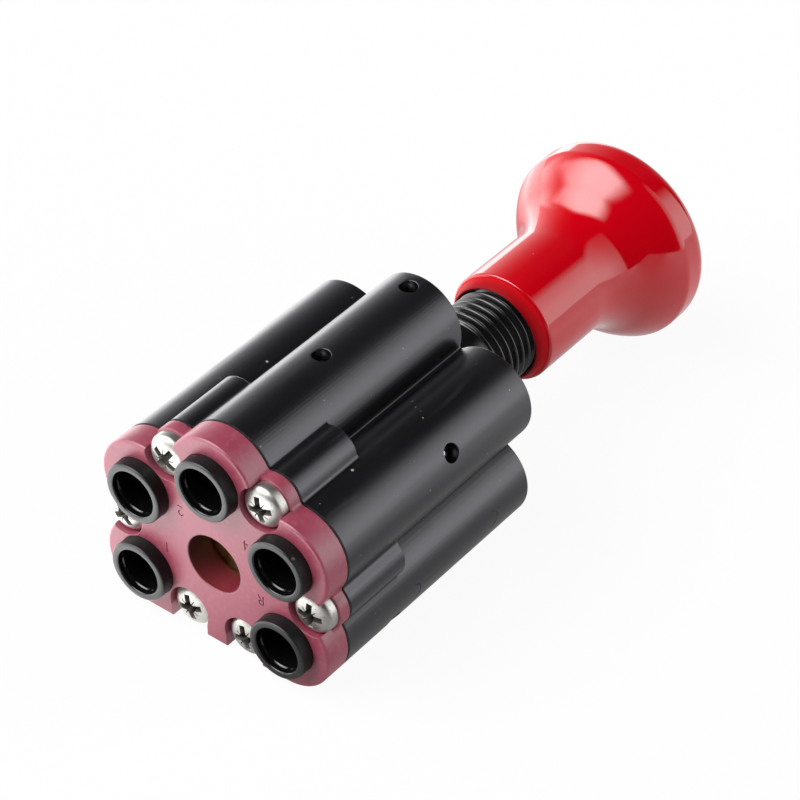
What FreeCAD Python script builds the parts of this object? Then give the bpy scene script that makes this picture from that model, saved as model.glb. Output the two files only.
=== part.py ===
import FreeCAD, Part
import math
import os
import Sketcher

# A hand-operated push-pull air valve: a black housing with five lobes, each holding a
# push-in tube port behind a maroon port plate, a brass spool that slides through a stack
# of seals, and a red mushroom knob beyond a threaded panel neck.
#
# The frame: origin on the spool axis at the panel seat, +Y along the spool to the knob,
# +Z up through the top lobe, +X to the right as seen from the port side. The flat of the
# housing faces down. Lengths "along" are measured from the port face towards the knob.

Vector = FreeCAD.Vector

# Driving dimensions, in millimetres and degrees
SIZES = {
    # Lobed section shared by the housing, the gasket and the port plate
    "port_circle": 13.05,
    "lobe_radius": 6.62,
    "core_radius": 12.0,
    "boss_circle": 14.94,
    "boss_radius": 3.3,
    "base_screw_side": 4.5,
    "base_screw_drop": 10.05,
    # Lengths of the stacked housing pieces
    "plate_thickness": 3.95,
    "gasket_thickness": 0.3,
    "housing_length": 37.25,
    "boss_length": 10.75,
    # Port plate
    "pocket_radius": 3.2,
    "pocket_depth": 2.2,
    "face_hole_radius": 4.15,
    "face_edge_round": 0.45,
    # Screws that hold the plate, thread size M3
    "screw_shank_radius": 1.45,
    "screw_hole_clearance": 0.05,
    "screw_length": 10.0,
    "screw_point": 0.6,
    "screw_hole_spare": 0.5,
    "plate_hole_clearance": 0.2,
    "screw_head_radius": 2.95,
    "screw_head_side": 0.95,
    "screw_crown_rise": 0.85,
    "screw_crown_edge": 0.35,
    "screw_flat_radius": 1.8,
    "screw_crown_radius": 2.65,
    # Tube ports, for tube of 6 mm
    "tube_radius": 3.0,
    "tube_clearance": 0.1,
    "collet_radius": 4.3,
    "collet_stand": 1.9,
    "collet_clearance": 0.08,
    "collet_edge": 0.3,
    "barb_radius": 4.75,
    "barb_gap": 0.1,
    "barb_length": 0.7,
    "collet_nose_radius": 3.55,
    "collet_length": 8.3,
    "collet_slot_width": 0.8,
    "collet_slot_length": 4.2,
    "collet_travel": 1.2,
    "cartridge_radius": 5.0,
    "cartridge_depth": 7.35,
    "grip_lap": 0.15,
    "grip_sheet": 0.3,
    "grip_rim_width": 0.75,
    "grip_dish": 0.6,
    "support_length": 0.8,
    "tube_seal_section": 1.8,
    "tube_seal_room": 1.9,
    "pilot_depth": 1.1,
    "channel_radius": 2.0,
    "channel_over": 0.3,
    # Cross drillings and their ball plugs. The five stations of the ports along the spool
    # are evenly spaced between the first, from the housing's front, and the last, from
    # the panel seat.
    "drilling_radius": 1.25,
    "drill_overrun": 1.0,
    "plug_depth": 2.5,
    "front_station": 16.95,
    "last_station": 2.7,
    # Bore stack: liner, cages and seals
    "bore_radius": 6.2,
    "stack_clearance": 0.05,
    "cage_bore_radius": 3.9,
    "cage_groove_depth": 0.7,
    "cage_groove_width": 1.4,
    "cage_hole_radius": 0.6,
    "reset_hole_radius": 0.8,
    "reset_wall": 0.25,
    "seal_section": 1.8,
    "seal_room": 1.9,
    "cup_clearance": 0.15,
    "liner_radius": 5.45,
    # Spool
    "spool_radius": 3.5,
    "spool_groove_radius": 2.4,
    "spool_groove_lap": 0.7,
    "spool_groove_slope": 0.4,
    "running_clearance": 0.06,
    "piston_clearance": 0.08,
    "piston_gap": 1.05,
    "piston_length": 3.2,
    "piston_groove_depth": 1.4,
    "piston_groove_width": 1.7,
    "piston_seal_section": 1.4,
    "piston_seal_clearance": 0.03,
    "piston_edge": 0.3,
    "stop_gap": 0.1,
    "slot_width": 1.0,
    "slot_reach": 3.5,
    "slot_depth": 0.6,
    # Threaded neck, pipe thread of 1/4 inch with an outside diameter of 13.16 mm
    "neck_radius": 6.58,
    "neck_thread_length": 16.4,
    "neck_lead_radius": 6.35,
    "neck_chamfer": 0.5,
    "flange_radius": 8.2,
    "flange_thickness": 1.6,
    "flange_clearance": 0.05,
    "stem_seal_gap": 0.25,
    "wiper_pocket_radius": 5.0,
    "wiper_length": 2.0,
    "wiper_width": 0.8,
    # Knob
    "knob_stand": 16.5,
    "skirt_cover": 5.4,
    "skirt_radius": 8.2,
    "skirt_bore_radius": 6.96,
    "skirt_tip_width": 0.25,
    "skirt_bevel_length": 2.0,
    "skirt_lip_round": 0.4,
    "skirt_length": 14.0,
    "flare_radius": 10.0,
    "flare_angle": 48.0,
    "belly_end_angle": 27.0,
    "rim_radius": 14.6,
    "rim_edge_round": 1.5,
    "rim_band": 2.4,
    "dome_shoulder": 2.5,
    "dome_rise": 4.9,
    "knob_stop_gap": 0.3,
    "insert_radius": 4.5,
    "insert_length": 10.0,
    "insert_clearance": 0.03,
    "insert_groove_depth": 0.5,
    "insert_groove_width": 1.2,
    "stem_thread_radius": 2.45,
    "stem_thread_length": 9.0,
    "stem_thread_chamfer": 0.4,
    "stem_thread_clearance": 0.05,
}

# Angles of the five lobes by port, and of the four outer screws, seen from the port side
# and measured up from +X
LOBE_ANGLES = {"1": 210.0, "2": 150.0, "5": 90.0, "4": 30.0, "3": -30.0}
SCREW_ANGLES = (180.0, 120.0, 60.0, 0.0)
ANGLE_STEP = 60.0
STATION_COUNT = 5


class Size:
    """A length with the sheet formula that it comes from."""

    def __init__(self, value, formula):
        self.value = value
        self.formula = formula

    def join(self, other, sign, result):
        return Size(result, "(" + self.formula + " " + sign + " " + as_size(other).formula + ")")

    def __add__(self, other):
        return self.join(other, "+", self.value + as_size(other).value)

    def __sub__(self, other):
        return self.join(other, "-", self.value - as_size(other).value)

    def __mul__(self, other):
        return self.join(other, "*", self.value * as_size(other).value)

    def __truediv__(self, other):
        return self.join(other, "/", self.value / as_size(other).value)

    def __radd__(self, other):
        return as_size(other) + self

    def __rsub__(self, other):
        return as_size(other) - self

    def __rmul__(self, other):
        return as_size(other) * self

    def __neg__(self):
        return as_size(-1.0) * self


def as_size(number):
    return number if isinstance(number, Size) else Size(float(number), repr(float(number)))


def sine(angle):
    return Size(math.sin(math.radians(angle.value)), "sin(" + angle.formula + " * 1 deg)")


def cosine(angle):
    return Size(math.cos(math.radians(angle.value)), "cos(" + angle.formula + " * 1 deg)")


doc = FreeCAD.newDocument("push_pull_valve")
sheet = doc.addObject("Spreadsheet::Sheet", "Sizes")
for row, (alias, number) in enumerate(SIZES.items(), start=1):
    sheet.set("A" + str(row), alias)
    sheet.set("B" + str(row), str(number))
    sheet.setAlias("B" + str(row), alias)
doc.recompute()

S = {alias: Size(number, "Sizes." + alias) for alias, number in SIZES.items()}

# Places along the spool axis, from the port face
ledge = S["pocket_depth"]
plate_back = S["plate_thickness"]
housing_front = plate_back + S["gasket_thickness"]
panel_seat = housing_front + S["housing_length"]
port_face = -panel_seat
seat_floor = panel_seat - S["flange_thickness"]
skirt_end = panel_seat + S["knob_stand"]
neck_end = skirt_end + S["skirt_cover"]
insert_face = neck_end + S["knob_stop_gap"]
cartridge_floor = housing_front + S["cartridge_depth"]
pilot_floor = cartridge_floor + S["pilot_depth"]
station_span = S["housing_length"] - S["front_station"] - S["last_station"]
station_pitch = station_span / (STATION_COUNT - 1)
groove_length = station_pitch - S["spool_groove_lap"]
base_drop = S["port_circle"] * math.sin(math.radians(ANGLE_STEP / 2)) + S["lobe_radius"]
lobe_top = S["port_circle"] + S["lobe_radius"]
tube_bore = S["tube_radius"] + S["tube_clearance"]


def station(index):
    """Place of a port along the spool, counted back from the one nearest the knob."""
    return panel_seat - S["last_station"] - index * station_pitch


# The seal nearest the ports sits in a cup in the end of the piston liner, and the reset
# hole stands just in front of that cup.
seal_reach = (station_pitch + groove_length + S["seal_room"]) / 2
first_seal = station(STATION_COUNT - 1) - seal_reach
liner_end = first_seal + S["seal_room"] / 2
liner_cup = liner_end - S["seal_room"]
reset_along = liner_cup - S["reset_wall"] - S["reset_hole_radius"]

# Where each lobe's drilling meets the spool bore: the exhaust lobe has two, and the
# reset lobe leads to the chamber behind the piston.
DRILLINGS = (
    ("5", station(0)),
    ("2", station(1)),
    ("1", station(2)),
    ("4", station(3)),
    ("5", station(4)),
    ("3", reset_along),
)

finished = []


def keep(thing, label):
    """Names a finished sub-part and puts it on the list that is written out."""
    thing.Label = label
    finished.append(thing)
    return thing


def bind(thing, prop, size):
    """Ties a property to the sheet by the formula of its size."""
    thing.setExpression(prop, as_size(size).formula)


def place(thing, across=0.0, along=0.0, up=0.0):
    """Sets a piece down in the part's frame, with its own start at a place along the spool."""
    bind(thing, "Placement.Base.x", across)
    bind(thing, "Placement.Base.y", port_face + along)
    bind(thing, "Placement.Base.z", up)


def port_across(port):
    return S["port_circle"] * math.cos(math.radians(LOBE_ANGLES[port]))


def port_up(port):
    return S["port_circle"] * math.sin(math.radians(LOBE_ANGLES[port]))


def new_body(name):
    return doc.addObject("PartDesign::Body", name)


def origin_part(body, role):
    return [part for part in body.Origin.OriginFeatures if part.Role == role][0]


def new_sketch(body, name, role, along=None):
    """A sketch on one of the body's origin planes, moved along the spool if asked."""
    sketch = body.newObject("Sketcher::SketchObject", name)
    sketch.AttachmentSupport = (origin_part(body, role), [""])
    sketch.MapMode = "FlatFace"
    if along is not None:
        sketch.setExpression("AttachmentOffset.Base.z", (-as_size(along)).formula)
    return sketch


def fix(sketch, kind, element, size):
    """Adds one dimension to a sketch, tied to the sheet."""
    size = as_size(size)
    index = sketch.addConstraint(Sketcher.Constraint(kind, *element, size.value))
    if "Sizes." in size.formula:
        sketch.setExpression("Constraints[" + str(index) + "]", size.formula)


def fix_point(sketch, edge, end, across, along):
    fix(sketch, "DistanceX", (-1, 1, edge, end), across)
    fix(sketch, "DistanceY", (-1, 1, edge, end), along)


def outline(sketch, points):
    """A closed outline of straight edges through points given as pairs of sizes."""
    points = [(as_size(across), as_size(along)) for across, along in points]
    count = len(points)
    for index in range(count):
        here = points[index]
        there = points[(index + 1) % count]
        start = Vector(here[0].value, here[1].value, 0)
        sketch.addGeometry(Part.LineSegment(start, Vector(there[0].value, there[1].value, 0)), False)
    for index in range(count):
        sketch.addConstraint(Sketcher.Constraint("Coincident", index, 2, (index + 1) % count, 1))
        fix_point(sketch, index, 1, *points[index])


def disc(sketch, radius, across=0.0, up=0.0):
    """A circle in a sketch."""
    radius = as_size(radius)
    across = as_size(across)
    up = as_size(up)
    centre = Vector(across.value, up.value, 0)
    index = sketch.addGeometry(Part.Circle(centre, Vector(0, 0, 1), radius.value), False)
    fix(sketch, "Radius", (index,), radius)
    fix_point(sketch, index, 3, across, up)


def spin(body, sketch, name="turning"):
    """Turns a profile of radius and length about the spool direction."""
    turning = body.newObject("PartDesign::Revolution", name)
    turning.Profile = sketch
    turning.ReferenceAxis = (sketch, ["V_Axis"])
    turning.Angle = 360.0
    body.Tip = turning
    return turning


def turned(name, profile):
    """A turned piece from its half section, given as pairs of radius and length."""
    body = new_body(name)
    sketch = new_sketch(body, name + "_section", "XY_Plane")
    outline(sketch, profile)
    spin(body, sketch, name + "_turning")
    return body


def cut_along(body, sketch, length, name):
    """Cuts a sketch of the lobed section towards the knob."""
    cut = body.newObject("PartDesign::Pocket", name)
    cut.Profile = sketch
    cut.Reversed = False
    bind(cut, "Length", length)
    body.Tip = cut
    return cut


def cut_across(body, sketch, width, name):
    """Cuts a sketch right through a turned piece, both ways from its middle plane."""
    cut = body.newObject("PartDesign::Pocket", name)
    cut.Profile = sketch
    cut.SideType = "Symmetric"
    bind(cut, "Length", width)
    body.Tip = cut
    return cut


def raise_along(body, sketch, length, name):
    """Raises a sketch of the lobed section towards the knob."""
    pad = body.newObject("PartDesign::Pad", name)
    pad.Profile = sketch
    pad.Reversed = True
    bind(pad, "Length", length)
    body.Tip = pad
    return pad


def round_pattern(body, feature, angle, count, name):
    """Repeats a feature about the spool axis, clockwise as seen from the port side."""
    pattern = body.newObject("PartDesign::PolarPattern", name)
    pattern.Originals = [feature]
    pattern.Axis = (origin_part(body, "Y_Axis"), [""])
    pattern.Angle = angle
    pattern.Occurrences = count
    body.Tip = pattern
    return pattern


def lobe_pattern(body, feature, name):
    return round_pattern(body, feature, ANGLE_STEP * (len(LOBE_ANGLES) - 1), len(LOBE_ANGLES), name)


def screw_pattern(body, feature, name):
    return round_pattern(body, feature, ANGLE_STEP * (len(SCREW_ANGLES) - 1), len(SCREW_ANGLES), name)


def lobed_block(body, length, boss_start, boss_length):
    """The solid with five lobes, a flat base and four screw bosses between the lobes."""
    core = new_sketch(body, "core_section", "XZ_Plane")
    disc(core, S["core_radius"])
    raise_along(body, core, length, "core")
    base = new_sketch(body, "base_section", "XZ_Plane")
    half = S["port_circle"] * math.cos(math.radians(ANGLE_STEP / 2))
    outline(base, [(-half, -base_drop), (half, -base_drop), (half, 0.0), (-half, 0.0)])
    raise_along(body, base, length, "base")
    lobe = new_sketch(body, "lobe_section", "XZ_Plane")
    disc(lobe, S["lobe_radius"], port_across("1"), port_up("1"))
    doc.recompute()
    first = raise_along(body, lobe, length, "lobe")
    lobe_pattern(body, first, "lobes")
    doc.recompute()
    boss = new_sketch(body, "boss_section", "XZ_Plane", boss_start)
    disc(boss, S["boss_radius"], -S["boss_circle"], 0.0)
    first = raise_along(body, boss, boss_length, "boss")
    screw_pattern(body, first, "bosses")
    doc.recompute()


def screw_holes(body, radius, along, depth, name):
    """Holes at the six screw places: four round the lobes and two in the base."""
    outer = new_sketch(body, name + "_outer_section", "XZ_Plane", along)
    disc(outer, radius, -S["boss_circle"], 0.0)
    first = cut_along(body, outer, depth, name + "_outer")
    screw_pattern(body, first, name + "_outer_row")
    doc.recompute()
    lower = new_sketch(body, name + "_base_section", "XZ_Plane", along)
    for side in (-1.0, 1.0):
        disc(lower, radius, side * S["base_screw_side"], -S["base_screw_drop"])
    cut_along(body, lower, depth, name + "_base")
    doc.recompute()


def lobe_holes(body, radius, along, depth, name):
    """The same hole in each of the five lobes."""
    section = new_sketch(body, name + "_section", "XZ_Plane", along)
    disc(section, radius, port_across("1"), port_up("1"))
    first = cut_along(body, section, depth, name)
    lobe_pattern(body, first, name + "_row")
    doc.recompute()


def centre_hole(body, radius, along, depth, name):
    section = new_sketch(body, name + "_section", "XZ_Plane", along)
    disc(section, radius)
    cut_along(body, section, depth, name)
    doc.recompute()


def round_edges(body, edges, radius, name):
    """Rounds named edges of the body's last feature."""
    last = body.Tip
    rounding = body.newObject("PartDesign::Fillet", name)
    rounding.Base = (last, edges)
    bind(rounding, "Radius", radius)
    body.Tip = rounding
    doc.recompute()


def radial_cylinder(name, radius, angle, start, end, along):
    """A cylinder that points out from the spool axis at an angle of the lobed section."""
    tool = doc.addObject("Part::Cylinder", name)
    bind(tool, "Radius", radius)
    bind(tool, "Height", as_size(end) - start)
    tool.Placement = FreeCAD.Placement(Vector(0, 0, 0), FreeCAD.Rotation(Vector(0, 1, 0), 90.0 - angle))
    reach = as_size(start)
    place(tool, reach * math.cos(math.radians(angle)), along, reach * math.sin(math.radians(angle)))
    return tool


# Housing: a moulded block whose lobes hold the port channels. Every port is drilled from
# outside, through its channel, to its own station on the spool bore.
housing_blank = new_body("housing_blank")
lobed_block(housing_blank, S["housing_length"], 0.0, S["boss_length"])
screw_depth = ledge + S["screw_length"] - housing_front + S["screw_hole_spare"]
screw_hole = S["screw_shank_radius"] + S["screw_hole_clearance"]
plate_hole = S["screw_shank_radius"] + S["plate_hole_clearance"]
screw_holes(housing_blank, screw_hole, 0.0, screw_depth, "screw_hole")
lobe_holes(housing_blank, S["cartridge_radius"], 0.0, S["cartridge_depth"], "cartridge_hole")
lobe_holes(housing_blank, tube_bore, 0.0, pilot_floor - housing_front, "tube_pilot")
centre_hole(housing_blank, S["bore_radius"], 0.0, S["housing_length"], "spool_bore")
flange_seat = seat_floor - housing_front
centre_hole(housing_blank, S["flange_radius"], flange_seat, S["flange_thickness"], "flange_seat")
far_station = {port: along for port, along in reversed(DRILLINGS)}
for port in LOBE_ANGLES:
    channel = new_sketch(housing_blank, "channel_section_" + port, "XZ_Plane", 0.0)
    disc(channel, S["channel_radius"], port_across(port), port_up(port))
    reach = far_station[port] + S["drilling_radius"] + S["channel_over"] - housing_front
    cut_along(housing_blank, channel, reach, "channel_" + port)
    doc.recompute()
place(housing_blank, along=housing_front)

drill_tools = []
for number, (port, along) in enumerate(DRILLINGS, start=1):
    angle = LOBE_ANGLES[port]
    inside = S["bore_radius"] - S["drill_overrun"]
    outside = lobe_top + S["drill_overrun"]
    name = "drilling_" + str(number)
    drill_tools.append(radial_cylinder(name, S["drilling_radius"], angle, inside, outside, along))
drill_set = doc.addObject("Part::MultiFuse", "drill_set")
drill_set.Shapes = drill_tools
housing = doc.addObject("Part::Cut", "housing")
housing.Base = housing_blank
housing.Tool = drill_set
keep(housing, "housing")

# Ball plugs: a steel ball pressed into the mouth of each drilling
balls = []
for number, (port, along) in enumerate(DRILLINGS, start=1):
    ball = doc.addObject("Part::Sphere", "ball_" + str(number))
    bind(ball, "Radius", S["drilling_radius"])
    depth = lobe_top - S["plug_depth"]
    angle = math.radians(LOBE_ANGLES[port])
    place(ball, depth * math.cos(angle), along, depth * math.sin(angle))
    balls.append(ball)
ball_plugs = doc.addObject("Part::Compound", "ball_plugs")
ball_plugs.Links = balls
keep(ball_plugs, "ball_plugs")

# Gasket: a thin sheet of rubber between the plate and the housing
gasket = new_body("gasket")
lobed_block(gasket, S["gasket_thickness"], 0.0, S["gasket_thickness"])
screw_holes(gasket, plate_hole, 0.0, S["gasket_thickness"], "screw_hole")
lobe_holes(gasket, S["cartridge_radius"], 0.0, S["gasket_thickness"], "port_hole")
centre_hole(gasket, S["bore_radius"], 0.0, S["gasket_thickness"], "bore_hole")
place(gasket, along=plate_back)
keep(gasket, "plate_gasket")

# Port plate: moulded cover with round screw pockets that open to the outside
plate = new_body("plate")
lobed_block(plate, S["plate_thickness"], ledge, S["plate_thickness"] - ledge)
screw_holes(plate, S["pocket_radius"], 0.0, ledge, "pocket")
front_edges = []
for number, edge in enumerate(plate.Shape.Edges, start=1):
    middle = edge.valueAt((edge.FirstParameter + edge.LastParameter) / 2)
    on_face = max(abs(vertex.Y) for vertex in edge.Vertexes) < 0.01 and abs(middle.y) < 0.01
    reach_out = math.hypot(middle.x, middle.z)
    on_base = abs(middle.z + base_drop.value) < 0.01
    if on_face and (on_base or reach_out > SIZES["port_circle"] + SIZES["lobe_radius"] / 2):
        front_edges.append("Edge" + str(number))
round_edges(plate, front_edges, S["face_edge_round"], "face_edge")
screw_holes(plate, plate_hole, 0.0, S["plate_thickness"], "screw_hole")
collet_hole = S["collet_radius"] + S["collet_clearance"]
lobe_holes(plate, collet_hole, 0.0, S["plate_thickness"], "port_hole")
centre_hole(plate, S["face_hole_radius"], 0.0, S["plate_thickness"], "face_hole")
place(plate)
keep(plate, "port_plate")

# Plate screws: pan heads that seat on the pocket ledges
crown_height = S["screw_crown_rise"] + S["screw_crown_edge"]
head_top = S["screw_head_side"] + crown_height
screw_places = []
for angle in SCREW_ANGLES:
    turn = math.radians(angle)
    screw_places.append((S["boss_circle"] * math.cos(turn), S["boss_circle"] * math.sin(turn)))
for side in (-1.0, 1.0):
    screw_places.append((side * S["base_screw_side"], -S["base_screw_drop"]))
screws = []
for number, (across, up) in enumerate(screw_places, start=1):
    tip = head_top + S["screw_length"]
    screw = turned("screw_" + str(number), [
        (0.0, 0.0),
        (S["screw_flat_radius"], S["screw_crown_edge"]),
        (S["screw_crown_radius"], S["screw_crown_rise"]),
        (S["screw_head_radius"], crown_height),
        (S["screw_head_radius"], head_top),
        (S["screw_shank_radius"], head_top),
        (S["screw_shank_radius"], tip - S["screw_point"]),
        (S["screw_shank_radius"] - S["screw_point"], tip),
        (0.0, tip),
    ])
    place(screw, across, ledge - head_top, up)
    screws.append(screw)
plate_screws = doc.addObject("Part::Compound", "plate_screws")
plate_screws.Links = screws
keep(plate_screws, "plate_screws")

# Tube cartridges: in each lobe a release collet that slides in the plate, a toothed grip
# ring, a support ring and a rubber seal on the cartridge floor.
barb_start = S["collet_stand"] + plate_back + S["barb_gap"]
collet_room = S["collet_length"] - S["collet_stand"] + S["collet_travel"]
grip_front = collet_room - S["grip_lap"]
support_front = grip_front + S["grip_sheet"]
slot_start = S["collet_length"] - S["collet_slot_length"]
cartridge_fit = S["cartridge_radius"] - S["stack_clearance"]
grip_inner_rim = cartridge_fit - S["grip_rim_width"]
seal_front = cartridge_floor - S["tube_seal_room"]
for port in LOBE_ANGLES:
    collet = turned("collet_blank_" + port, [
        (tube_bore, 0.0),
        (S["collet_radius"] - S["collet_edge"], 0.0),
        (S["collet_radius"], S["collet_edge"]),
        (S["collet_radius"], barb_start),
        (S["barb_radius"], barb_start),
        (S["barb_radius"], barb_start + S["barb_length"]),
        (S["collet_nose_radius"], S["collet_length"]),
        (tube_bore, S["collet_length"]),
    ])
    doc.recompute()
    half_slot = S["collet_slot_width"] / 2
    for way, role in (("across", "XY_Plane"), ("up", "YZ_Plane")):
        slot = new_sketch(collet, "slot_" + way + "_" + port, role)
        low = (-half_slot, slot_start)
        high = (half_slot, S["collet_length"] + 1.0)
        corners = [low, (high[0], low[1]), high, (low[0], high[1])]
        if role == "YZ_Plane":
            corners = [(along, side) for side, along in corners]
        outline(slot, corners)
        cut_across(collet, slot, S["barb_radius"] * 2 + 1.0, "slot_cut_" + way + "_" + port)
        doc.recompute()
    place(collet, port_across(port), -S["collet_stand"], port_up(port))
    keep(collet, "release_collet_" + port)

    tip = tube_bore - S["stack_clearance"]
    grip = turned("grip_blank_" + port, [
        (cartridge_fit, grip_front),
        (cartridge_fit, support_front),
        (grip_inner_rim, support_front),
        (tip, support_front + S["grip_dish"]),
        (tip, grip_front + S["grip_dish"]),
        (grip_inner_rim, grip_front),
    ])
    place(grip, port_across(port), 0.0, port_up(port))
    keep(grip, "grip_ring_" + port)

    support = turned("support_blank_" + port, [
        (cartridge_fit, support_front),
        (cartridge_fit, seal_front),
        (tube_bore, seal_front),
        (tube_bore, support_front + S["grip_dish"] + S["stack_clearance"]),
        (grip_inner_rim, support_front + S["stack_clearance"]),
        (grip_inner_rim, support_front),
    ])
    place(support, port_across(port), 0.0, port_up(port))
    keep(support, "support_ring_" + port)

    seal = doc.addObject("Part::Torus", "tube_seal_" + port)
    bind(seal, "Radius1", (cartridge_fit + tube_bore) / 2)
    bind(seal, "Radius2", S["tube_seal_section"] / 2)
    seal.Placement = FreeCAD.Placement(Vector(0, 0, 0), FreeCAD.Rotation(Vector(1, 0, 0), 90.0))
    place(seal, port_across(port), seal_front + S["tube_seal_room"] / 2, port_up(port))
    keep(seal, "tube_seal_" + port)


# Bore stack: a brass liner for the piston, then cages that hold one seal each between
# the stations, so that the spool's lands open and close the way from port to port.
port_half = (station_pitch - S["seal_room"]) / 2
stack_outer = S["bore_radius"] - S["stack_clearance"]
cup_radius = S["spool_radius"] + S["seal_section"] + S["cup_clearance"]
piston_back = plate_back + S["piston_gap"] + S["piston_length"]
liner_step = piston_back + station_pitch + S["stop_gap"]


def bored_piece(name, start, end, groove_middle, half, depth, hole_radius, inner_steps):
    """A turned piece of the bore stack with an outer groove and four cross holes."""
    floor = stack_outer - depth
    profile = [
        (stack_outer, start),
        (stack_outer, groove_middle - half),
        (floor, groove_middle - half),
        (floor, groove_middle + half),
        (stack_outer, groove_middle + half),
        (stack_outer, end),
    ]
    piece = turned(name, profile + inner_steps)
    doc.recompute()
    for way, role in (("across", "YZ_Plane"), ("up", "XY_Plane")):
        hole = new_sketch(piece, name + "_hole_" + way, role)
        if role == "YZ_Plane":
            disc(hole, hole_radius, groove_middle, 0.0)
        else:
            disc(hole, hole_radius, 0.0, groove_middle)
        cut_across(piece, hole, stack_outer * 2 + 1.0, name + "_hole_cut_" + way)
        doc.recompute()
    return piece


# The liner's groove takes half its wall, so that it may also lie over the piston's chamber.
reset_hole = S["reset_hole_radius"]
reset_groove = (stack_outer - S["liner_radius"]) / 2
liner = bored_piece("liner", plate_back, liner_end, reset_along, reset_hole, reset_groove, reset_hole, [
    (cup_radius, liner_end),
    (cup_radius, liner_cup),
    (S["cage_bore_radius"], liner_cup),
    (S["cage_bore_radius"], liner_step),
    (S["liner_radius"], liner_step),
    (S["liner_radius"], plate_back),
])
place(liner)
keep(liner, "piston_liner")

cage_half = S["cage_groove_width"] / 2
for number in range(1, STATION_COUNT + 1):
    index = STATION_COUNT - number
    middle = station(index)
    start = liner_end if number == 1 else middle - port_half
    if index == 0:
        end = seat_floor
        steps = [(S["cage_bore_radius"], end), (S["cage_bore_radius"], start)]
    else:
        end = middle + port_half + S["seal_room"]
        steps = [
            (cup_radius, end),
            (cup_radius, end - S["seal_room"]),
            (S["cage_bore_radius"], end - S["seal_room"]),
            (S["cage_bore_radius"], start),
        ]
    name = "cage_" + str(number)
    groove = S["cage_groove_depth"]
    cage = bored_piece(name, start, end, middle, cage_half, groove, S["cage_hole_radius"], steps)
    place(cage)
    keep(cage, "seal_" + name)

between = [station(index) + station_pitch / 2 for index in range(STATION_COUNT - 1, 0, -1)]
seal_middles = [first_seal] + between
stem_seal_start = station(0) + (station_pitch + groove_length) / 2 + S["stem_seal_gap"]
stem_seal_middle = stem_seal_start + S["seal_room"] / 2


def spool_ring(name, middle, radius, section):
    """A rubber ring of round section about the spool axis."""
    ring = doc.addObject("Part::Torus", name)
    bind(ring, "Radius1", radius)
    bind(ring, "Radius2", section / 2)
    ring.Placement = FreeCAD.Placement(Vector(0, 0, 0), FreeCAD.Rotation(Vector(1, 0, 0), 90.0))
    place(ring, 0.0, middle, 0.0)
    return keep(ring, name)


ring_radius = S["spool_radius"] + S["running_clearance"] + S["seal_section"] / 2
for number, middle in enumerate(seal_middles, start=1):
    spool_ring("spool_seal_" + str(number), middle, ring_radius, S["seal_section"])
spool_ring("stem_seal", stem_seal_middle, ring_radius, S["seal_section"])

# Threaded neck: a bushing whose flange is sunk into the housing's end, with the stem seal
# held in its root by a retainer and a wiper ring in its mouth.
guide_radius = S["spool_radius"] + S["running_clearance"]
stem_seal_end = stem_seal_start + S["seal_room"]
wiper_start = neck_end - S["wiper_length"]
flange_outer = S["flange_radius"] - S["flange_clearance"]
neck = turned("neck", [
    (cup_radius, seat_floor),
    (flange_outer, seat_floor),
    (flange_outer, panel_seat),
    (S["neck_radius"], panel_seat),
    (S["neck_radius"], panel_seat + S["neck_thread_length"]),
    (S["neck_lead_radius"], panel_seat + S["neck_thread_length"]),
    (S["neck_lead_radius"], neck_end - S["neck_chamfer"]),
    (S["neck_lead_radius"] - S["neck_chamfer"], neck_end),
    (S["wiper_pocket_radius"], neck_end),
    (S["wiper_pocket_radius"], wiper_start),
    (guide_radius, wiper_start),
    (guide_radius, stem_seal_end),
    (cup_radius, stem_seal_end),
])
place(neck)
keep(neck, "threaded_neck")

retainer_outer = cup_radius - S["stack_clearance"]
retainer = turned("retainer", [
    (S["cage_bore_radius"], seat_floor),
    (retainer_outer, seat_floor),
    (retainer_outer, stem_seal_start),
    (S["cage_bore_radius"], stem_seal_start),
])
place(retainer)
keep(retainer, "stem_seal_retainer")

wiper_outer = S["wiper_pocket_radius"] - S["stack_clearance"]
wiper = turned("wiper", [
    (guide_radius, wiper_start + S["wiper_length"] / 2),
    (wiper_outer - S["wiper_width"], wiper_start),
    (wiper_outer, wiper_start),
    (wiper_outer, neck_end),
    (wiper_outer - S["wiper_width"], neck_end),
    (guide_radius, neck_end - S["stem_seal_gap"]),
])
place(wiper)
keep(wiper, "stem_wiper")

# Spool: one brass turning with the piston at the port end, three flow grooves, and a
# threaded end for the knob. Drawn with the knob pushed in.
piston_face = plate_back + S["piston_gap"]
piston_outer = S["liner_radius"] - S["piston_clearance"]
piston_floor = piston_outer - S["piston_groove_depth"]
piston_rim = (S["piston_length"] - S["piston_groove_width"]) / 2
groove_half = groove_length / 2
slope = S["spool_groove_slope"]
spool_profile = [
    (0.0, piston_face),
    (piston_outer - S["piston_edge"], piston_face),
    (piston_outer, piston_face + S["piston_edge"]),
    (piston_outer, piston_face + piston_rim),
    (piston_floor, piston_face + piston_rim),
    (piston_floor, piston_back - piston_rim),
    (piston_outer, piston_back - piston_rim),
    (piston_outer, piston_back),
    (S["spool_radius"], piston_back),
]
for index in range(STATION_COUNT - 1, -1, -2):
    middle = station(index) - station_pitch / 2
    spool_profile += [
        (S["spool_radius"], middle - groove_half),
        (S["spool_groove_radius"], middle - groove_half + slope),
        (S["spool_groove_radius"], middle + groove_half - slope),
        (S["spool_radius"], middle + groove_half),
    ]
stem_end = insert_face + S["stem_thread_length"]
spool_profile += [
    (S["spool_radius"], insert_face),
    (S["stem_thread_radius"], insert_face),
    (S["stem_thread_radius"], stem_end - S["stem_thread_chamfer"]),
    (S["stem_thread_radius"] - S["stem_thread_chamfer"], stem_end),
    (0.0, stem_end),
]
spool = turned("spool", spool_profile)
doc.recompute()
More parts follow.
